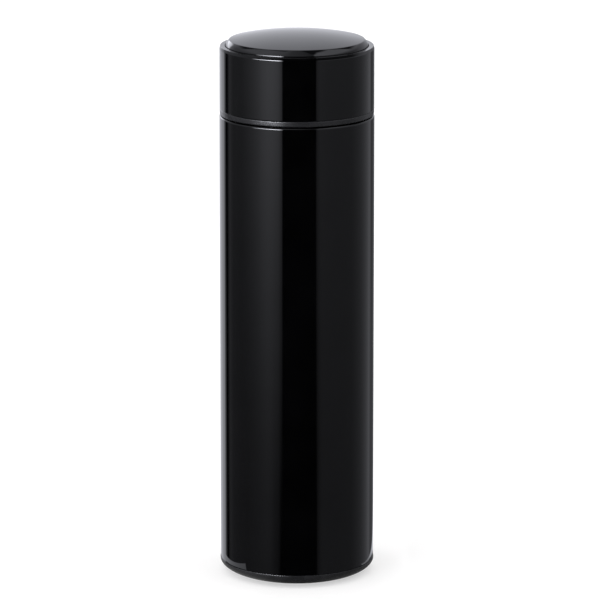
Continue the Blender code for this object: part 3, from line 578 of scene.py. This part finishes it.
def build_base():
    """Satin cup with its moulded curve, and the rubber pad with anti-slip rings."""
    inside = 29.9
    floor_top = 2.4
    pad_gap = 0.3
    recess_top = PAD_TOP + pad_gap
    edge = 0.08
    upright = 0.25
    inset = 16.0
    drop = 6.1
    centre = (BASE_R - inset, BASE_TOP - upright)
    end_deg = -math.degrees(math.asin((centre[1] - BASE_LOW) / drop))
    outline = [(0.0, floor_top), (inside, floor_top), (inside, BASE_TOP)]
    outline += arc((BASE_R - edge, BASE_TOP - edge), edge, 90, 0, 4)
    outline += arc(centre, (inset, drop), 0, end_deg, 28)[1:]
    outline += [(PAD_R + pad_gap, BASE_LOW), (PAD_R + pad_gap, recess_top), (0.0, recess_top)]
    place(turned("base_cup_satin", outline), "flask", "satin_black", SATIN_BLACK, "base_cup")
    rounding = 0.35
    grooves = 5
    groove_pitch = 2.0
    groove_width = 1.0
    groove_depth = 0.4
    groove_slant = 0.25
    rim_width = 2.2
    pad = [(0.0, PAD_TOP), (PAD_R, PAD_TOP)]
    pad += arc((PAD_R - rounding, PAD_LOW + rounding), rounding, 0, -90, 4)
    for groove in range(grooves):
        outer = PAD_R - rim_width - groove * groove_pitch
        inner = outer - groove_width
        pad += [(outer, PAD_LOW), (outer - groove_slant, PAD_LOW + groove_depth)]
        pad += [(inner + groove_slant, PAD_LOW + groove_depth), (inner, PAD_LOW)]
    pad.append((0.0, PAD_LOW))
    place(turned("foot_pad_ringed", pad), "flask", "foot_rubber", FOOT_RUBBER, "foot_pad")


def build_vessel():
    """Drink vessel: rounded floor, throat with the seal's seat, threaded neck, rolled lip."""
    inside = VESSEL_R - STEEL
    floor_z = VESSEL_LOW + STEEL
    corner = 8.0
    throat = 20.9
    curve_z = 184.6
    throat_z = 192.8
    seat_low = 194.2
    seat_top = 197.6
    lip_r = 27.2
    lip_low = 208.5
    lip_drop = 0.9
    lip_middle = (NECK_BORE + lip_r) / 2
    outer_neck = NECK_BORE + STEEL
    outer_throat = throat + STEEL
    outline = [(0.0, floor_z)]
    outline += arc((inside - corner, floor_z + corner), corner, 270, 360, 12)
    outline += arc((throat, curve_z), (inside - throat, throat_z - curve_z), 0, 90, 16)
    outline.append((throat, seat_low))
    outline += wall(NECK_BORE, seat_top, LIP_TOP - lip_drop)
    outline += arc((lip_middle, LIP_TOP - lip_drop), (lip_r - lip_middle, lip_drop), 180, 0, 14)[1:]
    outline += [(lip_r, lip_low), (outer_neck, lip_low), (outer_neck, seat_top - STEEL / 2)]
    outline.append((outer_throat, seat_low - STEEL / 2))
    outer_curve = (VESSEL_R - outer_throat, throat_z + STEEL - curve_z)
    outline += arc((outer_throat, curve_z), outer_curve, 90, 0, 16)
    outline += arc((inside - corner, floor_z + corner), corner + STEEL, 0, -90, 12)
    outline.append((0.0, VESSEL_LOW))

    def relief(radius, height, angle):
        if radius != NECK_BORE:
            return radius, height
        return radius - thread_ridge(height, angle, NECK_THREAD_Z, 0.0, NECK_CREST), height

    vessel = turned("inner_vessel_threaded", outline, FINE_STEPS, relief=relief)
    place(vessel, "flask", "brushed_steel", STEEL_BRUSHED, "inner_vessel")


def build_bottom():
    """Welded bottom plate with its dimple, and the pieces that stay as the CAD has them."""
    dimple = 9.0
    rise = 1.2
    hole = 0.8
    soft = 0.5
    slope_end = dimple + 2 * rise
    slope_shift = STEEL / 2
    outline = [(PLATE_R, PLATE_TOP)]
    outline += arc((PLATE_R - soft, PLATE_LOW + soft), soft, 0, -90, 6)
    outline += arc((slope_end, PLATE_LOW + soft), soft, 270, 210, 4)
    outline += [(dimple, PLATE_LOW + rise), (hole, PLATE_LOW + rise)]
    outline += [(hole, PLATE_LOW + rise + STEEL), (dimple + slope_shift, PLATE_LOW + rise + STEEL)]
    outline += [(slope_end + slope_shift, PLATE_LOW + STEEL), (PLATE_R - STEEL, PLATE_LOW + STEEL)]
    outline.append((PLATE_R - STEEL, PLATE_TOP))
    plate = turned("bottom_plate_dimpled", outline)
    place(plate, "flask", "brushed_steel", STEEL_BRUSHED, "bottom_plate")
    repaint(GLASS_BEAD, "vacuum_seal_bead")
    repaint(SINTERED, "getter")
    repaint(SPRING_STEEL, "getter_strap")
    repaint(FOIL, "heat_shield")


def build_seal():
    """Silicone ring with two sealing lips round its edge."""
    inner = 19.4
    bevel = 21.0
    rise = 1.4
    lip = 0.35
    middle = (SEAL_LOW + rise + SEAL_TOP) / 2
    outline = arc((SEAL_R - lip, SEAL_TOP - lip), lip, 90, -60, 8)
    outline.append((SEAL_R - 2 * lip, middle))
    outline += arc((SEAL_R - lip, SEAL_LOW + rise + lip / 2), lip, 60, -45, 7)
    outline += arc((bevel - lip, SEAL_LOW + lip), lip, -30, -90, 4)
    outline += [(inner, SEAL_LOW), (inner, SEAL_TOP)]
    place(turned("sealing_ring_lipped", outline), "seal", "seal_silicone", SILICONE, "sealing_ring")


# -------------------- lid

def build_sleeve():
    """Lacquered lid tube; its wall leans in a little below the flat top of the rim."""
    inside = SLEEVE_R - STEEL
    opening = 30.1
    bend = 1.15
    bend_z = RIM_TOP - 1.35
    taper_deg = 14.0
    inset = 0.3
    corner = 0.12
    edge = 0.2
    outline = [(opening, RIM_TOP - corner)]
    outline += arc((opening + corner, RIM_TOP - corner), corner, 180, 90, 3)[1:]
    outline += arc((SLEEVE_R - inset - corner, RIM_TOP - corner), corner, 90, taper_deg, 5)
    outline += arc((SLEEVE_R - bend, bend_z), bend, taper_deg, 0, 8)
    outline += arc((SLEEVE_R - edge, SLEEVE_LOW + edge), edge, 0, -90, 5)
    outline.append((inside, SLEEVE_LOW))
    outline += [(inside, bend_z), (inside - inset, RIM_TOP - STEEL)]
    outline.append((opening, RIM_TOP - STEEL))
    place(turned("lid_sleeve_lacquered", outline), "lid", "lid_lacquer", LID_LACQUER, "lid_sleeve")


def build_trim():
    """Satin ring with rounded edges, and the collar behind it."""
    collar_outer = 29.6
    collar_inner = 28.4
    edge = 0.32
    lower = 0.42
    draft = 0.05            # the ring is this much narrower at its lower edge
    seam = 0.05
    top = SLEEVE_LOW - seam
    outline = [(collar_outer, TRIM_COLLAR_TOP), (collar_outer, top)]
    outline += arc((TRIM_R - edge, top - edge), edge, 90, 0, 6)
    outline += arc((TRIM_R - draft - lower, TRIM_LOW + lower), lower, 0, -90, 7)
    outline += [(collar_inner, TRIM_LOW), (collar_inner, TRIM_COLLAR_TOP)]
    place(turned("lid_trim_ring_satin", outline), "lid", "satin_black", SATIN_BLACK, "lid_trim_ring")


def build_lens():
    """Domed window: spherical top, bevel, short side and the flange under the rim."""
    crease = 28.4
    crease_z = 228.8
    crease_edge = 0.3
    side = 29.8
    side_z = 226.4
    side_edge = 0.55
    bevel_deg = 45.0        # the bevel's facing, above level, at the crease and at the side
    bevel_low_deg = 24.0
    bevel_bow = 0.11
    flange = 1.4
    flange_top = LENS_LOW + flange
    rise = LENS_TOP - crease_z
    dome = (crease ** 2 + rise ** 2) / (2 * rise)
    dome_end = crease - 0.35
    dome_rings = 28
    outline = [(0.0, LENS_TOP)]
    for index in range(1, dome_rings + 1):
        radius = dome_end * index / dome_rings
        outline.append((radius, LENS_TOP - dome + math.sqrt(dome ** 2 - radius ** 2)))
    dome_deg = 90.0 - math.degrees(math.asin(crease / dome))
    crease_centre = (crease - crease_edge * math.cos(math.radians(bevel_deg)), crease_z - crease_edge)
    outline += arc(crease_centre, crease_edge, dome_deg, bevel_deg, 6)
    lower_edge = arc((side - side_edge, side_z), side_edge, bevel_low_deg, 0, 6)
    outline += bowed(Vector(outline[-1]), Vector(lower_edge[0]), bevel_bow, 8)
    outline += lower_edge
    outline += [(side, flange_top), (FLANGE_R, flange_top), (FLANGE_R, LENS_LOW)]
    hollow = 26.5
    hollow_rings = 7
    thickness = 2.0
    side_wall = 1.6
    wall_inside = side - side_wall
    wall_top = side_z - 0.6
    outline += [(wall_inside, LENS_LOW), (wall_inside, wall_top)]
    for index in range(hollow_rings, -1, -1):
        radius = hollow * index / hollow_rings
        outline.append((radius, LENS_TOP - thickness - dome + math.sqrt(dome ** 2 - radius ** 2)))
    place(turned("display_lens_domed", outline), "lid", "window_black", WINDOW, "display_lens")


# -------------------- inside the lid

def build_plug():
    """Hollow plug with its flange, the thread and the seal's groove."""
    flange = 2.2
    shoulder_z = 198.0
    groove = 19.1
    groove_z = 194.6
    keeper = 20.4
    hole = 2.9
    floor = 2.0
    floor_z = PLUG_LOW + floor
    groove_wall = 1.7
    groove_inside = groove - groove_wall
    thread_wall = 1.8
    bore = PLUG_R - thread_wall
    cone_low = shoulder_z + 0.6
    cone_top = shoulder_z + 2.6
    edge = 0.4
    outline = arc((PLUG_FLANGE_R - edge, PLUG_TOP - edge), edge, 90, 0, 5)
    outline += [(PLUG_FLANGE_R, PLUG_TOP - flange), (PLUG_R + edge, PLUG_TOP - flange)]
    outline += wall(PLUG_R, PLUG_TOP - flange - edge, shoulder_z)
    outline += [(groove, shoulder_z), (groove, groove_z), (keeper, groove_z)]
    outline += arc((keeper - edge, PLUG_LOW + edge), edge, 0, -90, 5)
    outline += [(hole, PLUG_LOW), (hole, floor_z), (groove_inside, floor_z)]
    outline += [(groove_inside, cone_low), (bore, cone_top), (bore, PLUG_TOP)]

    def relief(radius, height, angle):
        if radius != PLUG_R:
            return radius, height
        ridge = thread_ridge(height, angle, PLUG_THREAD_Z, PLUG_THREAD_START, PLUG_CREST)
        return radius + ridge, height

    plug = turned("screw_plug_threaded", outline, FINE_STEPS, relief=relief)
    place(plug, "lid", "plug_polypropylene", PLUG_PLASTIC, "screw_plug")
    repaint(FOAM, "plug_insulation")


def build_probe():
    """Steel thimble with its rolled flange, the O-ring under it and the sensor's lead."""
    radius = 2.5
    bore = 2.1
    flange = 0.8
    flange_low = PROBE_TOP - flange
    soft = 0.3
    seal_ring = 3.5
    outline = arc((0.0, PROBE_TIP + radius), bore, 270, 360, 10)
    outline += arc((bore + soft, PROBE_TOP - soft), soft, 180, 90, 4)
    outline += arc((PROBE_FLANGE_R - soft, PROBE_TOP - soft), soft, 90, 0, 4)
    outline += [(PROBE_FLANGE_R, flange_low), (radius, flange_low)]
    outline += arc((0.0, PROBE_TIP + radius), radius, 0, -90, 12)
    outline[0] = (0.0, outline[0][1])
    outline[-1] = (0.0, outline[-1][1])
    probe = turned("temperature_probe_drawn", outline, SMALL_STEPS)
    place(probe, "lid", "probe_steel", PROBE_STEEL, "temperature_probe")
    low, high = node_size("probe_seal")[1:]
    cord = (high - low) / 2
    section = arc((seal_ring, low + cord), cord, 0, 345, 23)
    ring = turned("probe_seal_round", section, SMALL_STEPS)
    place(ring, "lid", "seal_silicone", SILICONE, "probe_seal")
    repaint(GLASS_BEAD, "thermistor")
    build_lead()


def build_lead():
    """Sleeved lead up through the foam, across under the deck and up to the board."""
    radius = 0.5
    run_y = -14.0
    bend = 1.6
    turn_z = PLUG_TOP - 2.1
    points = [(0.0, 0.0, z) for _, z in wall(0.0, LEAD_LOW, turn_z - bend, 2.0)]
    points += [(0.0, r - bend, z) for r, z in arc((0.0, turn_z - bend), bend, 0, 90, 8)[1:]]
    points += [(0.0, y, turn_z) for _, y in wall(0.0, -bend, run_y + bend, 2.0)[1:]]
    for step in range(1, 9):
        angle = math.radians(90.0 * step / 8)
        points.append((0.0, run_y + bend - bend * math.sin(angle), turn_z + bend - bend * math.cos(angle)))
    points += [(0.0, run_y, z) for _, z in wall(0.0, turn_z + bend, LEAD_TOP, 1.5)[1:]]
    place(tube("thermistor_lead_sleeved", points, radius), "lid", "wire_sleeve", WIRE_SLEEVE,
          "thermistor_lead")


def build_cell():
    """Button cell with its crimped edge, and the springs round it."""
    cap = CELL_R - 1.2      # radius of the raised cap
    cap_edge = 0.1
    step = 0.3
    seal = 0.15
    crimp = 0.6
    soft = 0.3
    dish = 6.0
    dish_slant = 0.1
    dish_z = CELL_LOW + 0.06
    outline = [(0.0, CELL_TOP), (cap - cap_edge, CELL_TOP), (cap, CELL_TOP - cap_edge)]
    outline += [(cap, CELL_TOP - step), (cap + seal, CELL_TOP - step)]
    outline += arc((CELL_R - crimp, CELL_TOP - step - crimp), crimp, 80, 0, 7)
    outline += arc((CELL_R - soft, CELL_LOW + soft), soft, 0, -90, 5)
    outline += [(dish, CELL_LOW), (dish - dish_slant, dish_z), (0.0, dish_z)]
    place(turned("coin_cell_crimped", outline, FINE_STEPS // 2), "lid", "cell_steel", CELL_STEEL,
          "coin_cell")
    repaint(SPRING_STEEL, "battery_clip", "battery_contact")


def build_spring():
    """Touch spring: a coil with a flat closed turn at each end."""
    low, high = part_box("touch_spring")
    wire = 0.35
    coil = (high.x - low.x) / 2 / MM - wire
    middle_y = (high.y + low.y) / 2 / MM
    bottom = SPRING_LOW + wire
    top = SPRING_TOP - wire
    turns = 5.0
    closed = 0.9            # turns that lie flat at each end
    closed_pitch = 2 * wire
    open_length = top - bottom - 2 * closed_pitch * closed
    steps_per_turn = 40
    points = []
    steps = int(turns * steps_per_turn)
    for index in range(steps + 1):
        turn = turns * index / steps
        rise = (turn - closed) / (turns - 2 * closed)
        lead = closed_pitch * (min(turn, closed) + max(0.0, turn - turns + closed))
        height = bottom + lead + open_length * min(1.0, max(0.0, rise))
        angle = math.tau * turn
        points.append((coil * math.cos(angle), middle_y + coil * math.sin(angle), height))
    place(tube("touch_spring_coiled", points, wire), "lid", "spring_steel", SPRING_STEEL, "touch_spring")


def build_screw(node):
    """Pan-head screw with a cross recess and a fine thread."""
    low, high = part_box(node)
    centre = ((low.x + high.x) / 2 / MM, (low.y + high.y) / 2 / MM)
    head, tip, top = node_size(node)
    head_height = 1.1
    head_flat = 1.15
    head_round = 0.55
    head_soft = 0.1
    fillet = 0.15
    shank = 0.7
    cone = 0.4
    pitch = 0.5
    thread_depth = 0.12
    blade = 0.22            # half width of each arm of the cross
    reach = 1.05
    recess = 0.5
    ring_gap = 0.075        # between the rings that the cross is cut from
    seat = top - head_height
    outline = [(0.0, top - recess)]
    outline += [(ring_gap * ring, top) for ring in range(1, 16)]
    outline += arc((head_flat, top - head_round), (head - head_flat, head_round), 85, 0, 8)
    outline += [(head, seat + head_soft), (head - head_soft, seat), (shank + fillet, seat)]
    outline += wall(shank, seat - 0.1, tip + cone, 0.1)
    outline.append((0.0, tip))

    def relief(radius, height, angle):
        if height == top:
            x = abs(radius * math.cos(angle))
            y = abs(radius * math.sin(angle))
            if min(x, y) < blade and max(x, y) < reach:
                return radius, top - recess
        if radius == shank:
            wave = (height / pitch - angle / math.tau) % 1.0
            return radius + thread_depth * (1.0 - abs(2.0 * wave - 1.0)), height
        return radius, height

    screw = turned(node + "_cross_head", outline, SMALL_STEPS, centre, relief)
    place(screw, "lid", "screw_steel", SCREW_STEEL, node)


def build_electronics():
    """Materials of the frame, gasket, board, display and chip; the screws that hold them."""
    repaint(BLACK_ABS, "lid_core", "control_chip")
    repaint(GASKET_RUBBER, "lens_gasket")
    repaint(SOLDER_MASK, "circuit_board")
    repaint(DISPLAY_FACE, "led_display")
    repaint(DIFFUSER, "display_diffuser")
    for index in range(1, 4):
        build_screw("board_screw_%d" % index)
        build_screw("plug_screw_%d" % index)


# -------------------- room

# Levels round the room just below the horizon: (degrees from the front to the right, level)
ROOM_NEAR = (
    (-180, 1.0), (-138.5, 1.0), (-137.5, 0.45), (-131, 0.0), (-127, 0.0), (-120, 0.22), (-110, 0.15),
    (-90, 0.20), (-80, 0.30), (-70, 0.43), (-60, 0.62), (-52, 0.85), (-44, 1.0), (-36, 1.0),
    (-28, 0.86), (-24, 0.62), (-22, 0.50), (-21, 0.0), (28, 0.0), (29, 0.22), (34, 0.32),
    (45, 0.29), (90, 0.23), (110, 0.28), (128, 0.39), (138, 0.45), (146, 0.16), (150, 0.08),
    (156, 0.14), (172, 0.3), (177, 0.5), (180, 1.0),
)
# Levels lower down
ROOM_LOW = (
    (-180, 1.0), (-138.5, 1.0), (-137.5, 0.45), (-131, 0.0), (-127, 0.0), (-120, 0.14), (-110, 0.11),
    (-80, 0.12), (-60, 0.165), (-46, 0.20), (-40, 0.19), (-34, 0.13), (-28, 0.09), (-25, 0.03),
    (-24, 0.0), (29.5, 0.0), (30.5, 0.07), (34, 0.14), (38, 0.18), (45, 0.185), (90, 0.16),
    (110, 0.22), (128, 0.33), (138, 0.40), (146, 0.18), (152, 0.13), (165, 0.17), (172, 0.3),
    (177, 0.5), (180, 1.0),
)
# Levels just above the horizon: the front is dark there
ROOM_LEVEL = (
    (-180, 1.0), (-150, 0.9), (-125, 0.4), (-97, 0.4), (-60, 0.4), (-30, 0.25), (-21, 0.0), (27, 0.0),
    (31, 0.05), (90, 0.1), (125, 0.5), (158, 0.6), (172, 0.85), (180, 1.0),
)
# Levels well above the horizon, before the panels of light
ROOM_HIGH = (
    (-180, 1.0), (-150, 0.9), (-125, 0.6), (-97, 0.85), (-60, 1.05), (-30, 0.85), (-12, 0.5),
    (0, 0.44), (14, 0.38), (27, 0.25), (30, 0.3), (32, 1.3), (45, 1.4), (97, 1.15), (130, 0.9),
    (160, 0.9), (172, 0.85), (180, 1.0),
)
# How each zone goes over to the one above it: (degrees up, share of the upper zone)
LOW_TO_NEAR = ((-16, 0.0), (-15.2, 0.04), (-14, 0.19), (-12.8, 0.38), (-11.6, 0.62), (-10, 1.0))
NEAR_TO_LEVEL = ((-10, 0.0), (-7, 0.0), (6, 1.0), (30, 1.0))
LEVEL_TO_HIGH = ((0, 0.0), (20, 0.0), (34, 1.0), (90, 1.0))
# Elevation at which the ceiling's dark part starts: (degrees from the front, degrees up)
CEILING_START = (
    (-180, 42), (-170, 42), (-162, 28), (-112, 28), (-92, 60), (-35, 64), (-25, 85), (16, 85),
    (31, 36), (45, 50), (83, 57), (92, 58), (112, 28), (162, 28), (170, 42), (180, 42),
)
HIGH_TO_CEILING = ((-90, 0.0), (0, 0.0), (8, 1.0), (90, 1.0))    # degrees above that start
CEILING_LEVEL = 0.08
# Panels of light: level, edges in azimuth, edges in elevation (none, full, full, none)
KEY_PANEL = (60.0, (-70, -38, -27, -20.5), (-4, -2, 6, 10))
BACK_PANEL = (2.3, (-168, -163, -143, -138), (1, 6, 15, 22))
SIDE_PANEL = (0.45, (28, 31, 100, 130), (-9, -5, 6, 11))
ROOM_TINT = (0.945, 0.959, 1.037)

FLOOR_SIZE = 8.0
FLOOR_GLOW = 0.50
ROOM_STEP = -0.0001         # each layer of the floor lies this much lower than the one above
LAMP_POWER = 82.0
LAMP_PLACE = (-0.45, 0.3, 1.5)
LAMP_SIZE = 6.0
# The pale card that is seen in reflections only, in metres from the flask's axis
CARD_TINT = (0.94, 0.955, 1.03)
CARD_LEFT = -0.052
CARD_RIGHT = 0.048
CARD_FRONT_LEFT = -0.027
CARD_FRONT_RIGHT = -0.008
CARD_BACK = 0.25
CARD_HOLE = 0.046
# Painted shadow inside the card's hole: a dark disc that only reflections see, standing in for the shade
# under the foot, lighter at the left as a painted reflection of the lit floor: (metres from left to right,
# level)
SHADE_RADIUS = 0.042
SHADE_LEVELS = (
    (-0.042, 0.30), (-0.018, 0.25), (-0.006, 0.07), (0.006, 0.05), (0.018, 0.13), (0.042, 0.18),
)

CAMERA_PLACE = (0.0013, -1.959, 0.5622)
CAMERA_DOWN_DEG = 12.798
CAMERA_LENS = 285.4
CAMERA_SENSOR = 36.0


def level_ramp(tree, value, stops):
    """A grey ramp; stops are (value, level) and the first and last give its range."""
    low, high = stops[0][0], stops[-1][0]
    inputs = {"Value": value, "From Min": low, "From Max": high}
    share = add_node(tree, "ShaderNodeMapRange", inputs).outputs["Result"]
    ramp = add_node(tree, "ShaderNodeValToRGB", {"Fac": share})
    elements = ramp.color_ramp.elements
    elements.remove(elements[0])
    for index, (stop, level) in enumerate(stops):
        position = (stop - low) / (high - low)
        element = elements[0] if index == 0 else elements.new(position)
        element.position = position
        element.color = (level, level, level, 1.0)
    return ramp.outputs["Color"]


def crossfade(tree, value, stops, first, second):
    """The first level, going over to the second as the ramp of the value says."""
    inputs = {0: level_ramp(tree, value, stops), 2: first, 3: second}
    return add_node(tree, "ShaderNodeMix", inputs, data_type="FLOAT").outputs[0]


def panel(tree, azimuth, elevation, level, side, up):
    """One light panel with soft edges."""
    across = level_ramp(tree, azimuth, ((-180, 0), *zip(side, (0, 1, 1, 0)), (180, 0)))
    along = level_ramp(tree, elevation, ((-90, 0), *zip(up, (0, 1, 1, 0)), (90, 0)))
    return add_math(tree, "MULTIPLY", add_math(tree, "MULTIPLY", across, along), level)


def room_directions(tree):
    """Azimuth from the front, positive to the right, and elevation, both in degrees."""
    direction = tree.nodes.new("ShaderNodeTexCoord").outputs["Generated"]
    split = add_node(tree, "ShaderNodeSeparateXYZ", {0: direction}).outputs
    behind = add_math(tree, "MULTIPLY", split["Y"], -1.0)
    azimuth = add_math(tree, "DEGREES", add_math(tree, "ARCTAN2", split["X"], behind))
    return azimuth, add_math(tree, "DEGREES", add_math(tree, "ARCSINE", split["Z"]))


def room_level(tree, azimuth, elevation):
    """Light level by direction: the room in zones from low to high, then the panels."""
    low = level_ramp(tree, azimuth, ROOM_LOW)
    near = level_ramp(tree, azimuth, ROOM_NEAR)
    level = crossfade(tree, elevation, LOW_TO_NEAR, low, near)
    level = crossfade(tree, elevation, NEAR_TO_LEVEL, level, level_ramp(tree, azimuth, ROOM_LEVEL))
    level = crossfade(tree, elevation, LEVEL_TO_HIGH, level, level_ramp(tree, azimuth, ROOM_HIGH))
    start = level_ramp(tree, azimuth, [(angle, up / 90) for angle, up in CEILING_START])
    beyond = add_math(tree, "SUBTRACT", elevation, add_math(tree, "MULTIPLY", start, 90.0))
    level = crossfade(tree, beyond, HIGH_TO_CEILING, level, CEILING_LEVEL)
    for light in (KEY_PANEL, BACK_PANEL, SIDE_PANEL):
        level = add_math(tree, "ADD", level, panel(tree, azimuth, elevation, *light))
    return level


def light_room():
    """World light by direction; the camera itself sees plain white."""
    world = bpy.data.worlds.new("studio")
    bpy.context.scene.world = world
    world.use_nodes = True
    tree = world.node_tree
    tree.nodes.clear()
    level = room_level(tree, *room_directions(tree))
    tinted = add_node(tree, "ShaderNodeVectorMath", operation="SCALE")
    tinted.inputs[0].default_value = ROOM_TINT
    tree.links.new(level, tinted.inputs["Scale"])
    room = add_node(tree, "ShaderNodeBackground", {"Color": tinted.outputs[0]})
    backdrop = add_node(tree, "ShaderNodeBackground", {"Color": (1.0, 1.0, 1.0, 1.0)})
    seen = tree.nodes.new("ShaderNodeLightPath").outputs["Is Camera Ray"]
    mix = add_node(tree, "ShaderNodeMixShader",
                   {"Fac": seen, 1: room.outputs[0], 2: backdrop.outputs[0]})
    add_node(tree, "ShaderNodeOutputWorld", {"Surface": mix.outputs[0]})


def stage_mesh(name, builder, material):
    """An object of the room, from a bmesh."""
    mesh = bpy.data.meshes.new(name)
    builder.to_mesh(mesh)
    builder.free()
    mesh.materials.append(material)
    item = bpy.data.objects.new(name, mesh)
    bpy.context.scene.collection.objects.link(item)
    return item


def square(name, half, height, material):
    """A level square round the flask's axis."""
    builder = bmesh.new()
    signs = ((-1, -1), (1, -1), (1, 1), (-1, 1))
    corners = [builder.verts.new((x * half, y * half, height)) for x, y in signs]
    builder.faces.new(corners)
    return stage_mesh(name, builder, material)


def reflected_card(material):
    """A level card just above the floor, open round the flask and shorter at the front right."""
    spokes = 720
    tiny = 1e-9
    builder = bmesh.new()
    pairs = []
    for spoke in range(spokes):
        x = math.cos(math.tau * spoke / spokes)
        y = math.sin(math.tau * spoke / spokes)
        side = CARD_RIGHT if x > 0 else CARD_LEFT
        front = CARD_FRONT_RIGHT if x > 0 else CARD_FRONT_LEFT
        end = CARD_BACK if y > 0 else front
        across = side / x if abs(x) > tiny else math.inf
        along = end / y if abs(y) > tiny else math.inf
        reach = min(across, along)
        if reach <= CARD_HOLE:
            pairs.append(None)
            continue
        inner = builder.verts.new((x * CARD_HOLE, y * CARD_HOLE, ROOM_STEP))
        pairs.append((inner, builder.verts.new((x * reach, y * reach, ROOM_STEP))))
    for first, second in zip(pairs, pairs[1:] + pairs[:1]):
        if first and second:
            builder.faces.new((first[0], first[1], second[1], second[0]))
    return stage_mesh("reflected_card", builder, material)


def disc(name, radius, material):
    """A level disc just above the floor, round the flask's axis."""
    builder = bmesh.new()
    around = bmesh.ops.create_circle(builder, cap_ends=True, segments=SMALL_STEPS, radius=radius)
    bmesh.ops.translate(builder, vec=(0.0, 0.0, ROOM_STEP), verts=around["verts"])
    return stage_mesh(name, builder, material)


def glow(name, level):
    """A plain light-giving material for a card."""
    material = bpy.data.materials.new(name)
    material.use_nodes = True
    tree = material.node_tree
    tree.nodes.clear()
    inputs = {"Color": (*CARD_TINT, 1.0), "Strength": level}
    light = add_node(tree, "ShaderNodeEmission", inputs)
    add_node(tree, "ShaderNodeOutputMaterial", {"Surface": light.outputs[0]})
    return material


def shaded_glow(name, levels):
    """A light-giving material whose level changes from left to right, for the painted shadow that the foot
    reflects.
    """
    material = glow(name, 1.0)
    tree = material.node_tree
    here = tree.nodes.new("ShaderNodeTexCoord").outputs["Object"]
    split = add_node(tree, "ShaderNodeSeparateXYZ", {0: here})
    ramp = level_ramp(tree, split.outputs["X"], levels)
    light = next(node for node in tree.nodes if node.type == "EMISSION")
    tree.links.new(ramp, light.inputs["Color"])
    return material


def build_room():
    """Back-lit pale floor, the card and the painted-shadow disc that the flask's foot reflects in its
    place, and the lamp over them.
    """
    paper = Shader("floor_paper", (0.515, 0.507, 0.49), 0.8)
    clouds = paper.spread(paper.noise(60.0, 3.0))
    paper.tint(clouds, (0.505, 0.497, 0.48), (0.525, 0.517, 0.50))
    paper.set("Emission Color", (1.0, 1.0, 1.0, 1.0))
    paper.set("Emission Strength", FLOOR_GLOW)
    floor = square("floor", FLOOR_SIZE / 2, 2 * ROOM_STEP, paper.material)
    floor.visible_glossy = False
    card = reflected_card(glow("card_white", 1.0))
    # The shade disc is painted shadow: a dark sheet under the foot, seen in reflections only, lighter at
    # the left as painted reflection of the floor.
    shade = disc("reflected_shade", SHADE_RADIUS, shaded_glow("shade_grey", SHADE_LEVELS))
    for item in (card, shade):
        item.visible_camera = False
        item.visible_diffuse = False
        item.visible_shadow = False
    lamp = bpy.data.lights.new("floor_lamp", "AREA")
    lamp.shape = "DISK"
    lamp.size = LAMP_SIZE
    lamp.energy = LAMP_POWER
    holder = bpy.data.objects.new("floor_lamp", lamp)
    bpy.context.scene.collection.objects.link(holder)
    holder.location = LAMP_PLACE
    holder.visible_glossy = False


def place_camera():
    """Long lens, a little above the lid, looking slightly down."""
    lens = bpy.data.cameras.new("camera")
    lens.sensor_width = CAMERA_SENSOR
    lens.lens = CAMERA_LENS
    lens.clip_start = 0.05
    lens.clip_end = 60.0
    camera = bpy.data.objects.new("camera", lens)
    bpy.context.scene.collection.objects.link(camera)
    camera.location = CAMERA_PLACE
    camera.rotation_euler = (math.radians(90.0 - CAMERA_DOWN_DEG), 0.0, 0.0)
    bpy.context.scene.camera = camera
    bpy.context.scene.view_settings.view_transform = "Standard"


build_shell()
build_vessel()
build_bottom()
build_base()
build_seal()
build_sleeve()
build_trim()
build_lens()
build_plug()
build_probe()
build_cell()
build_spring()
build_electronics()
light_room()
build_room()
place_camera()
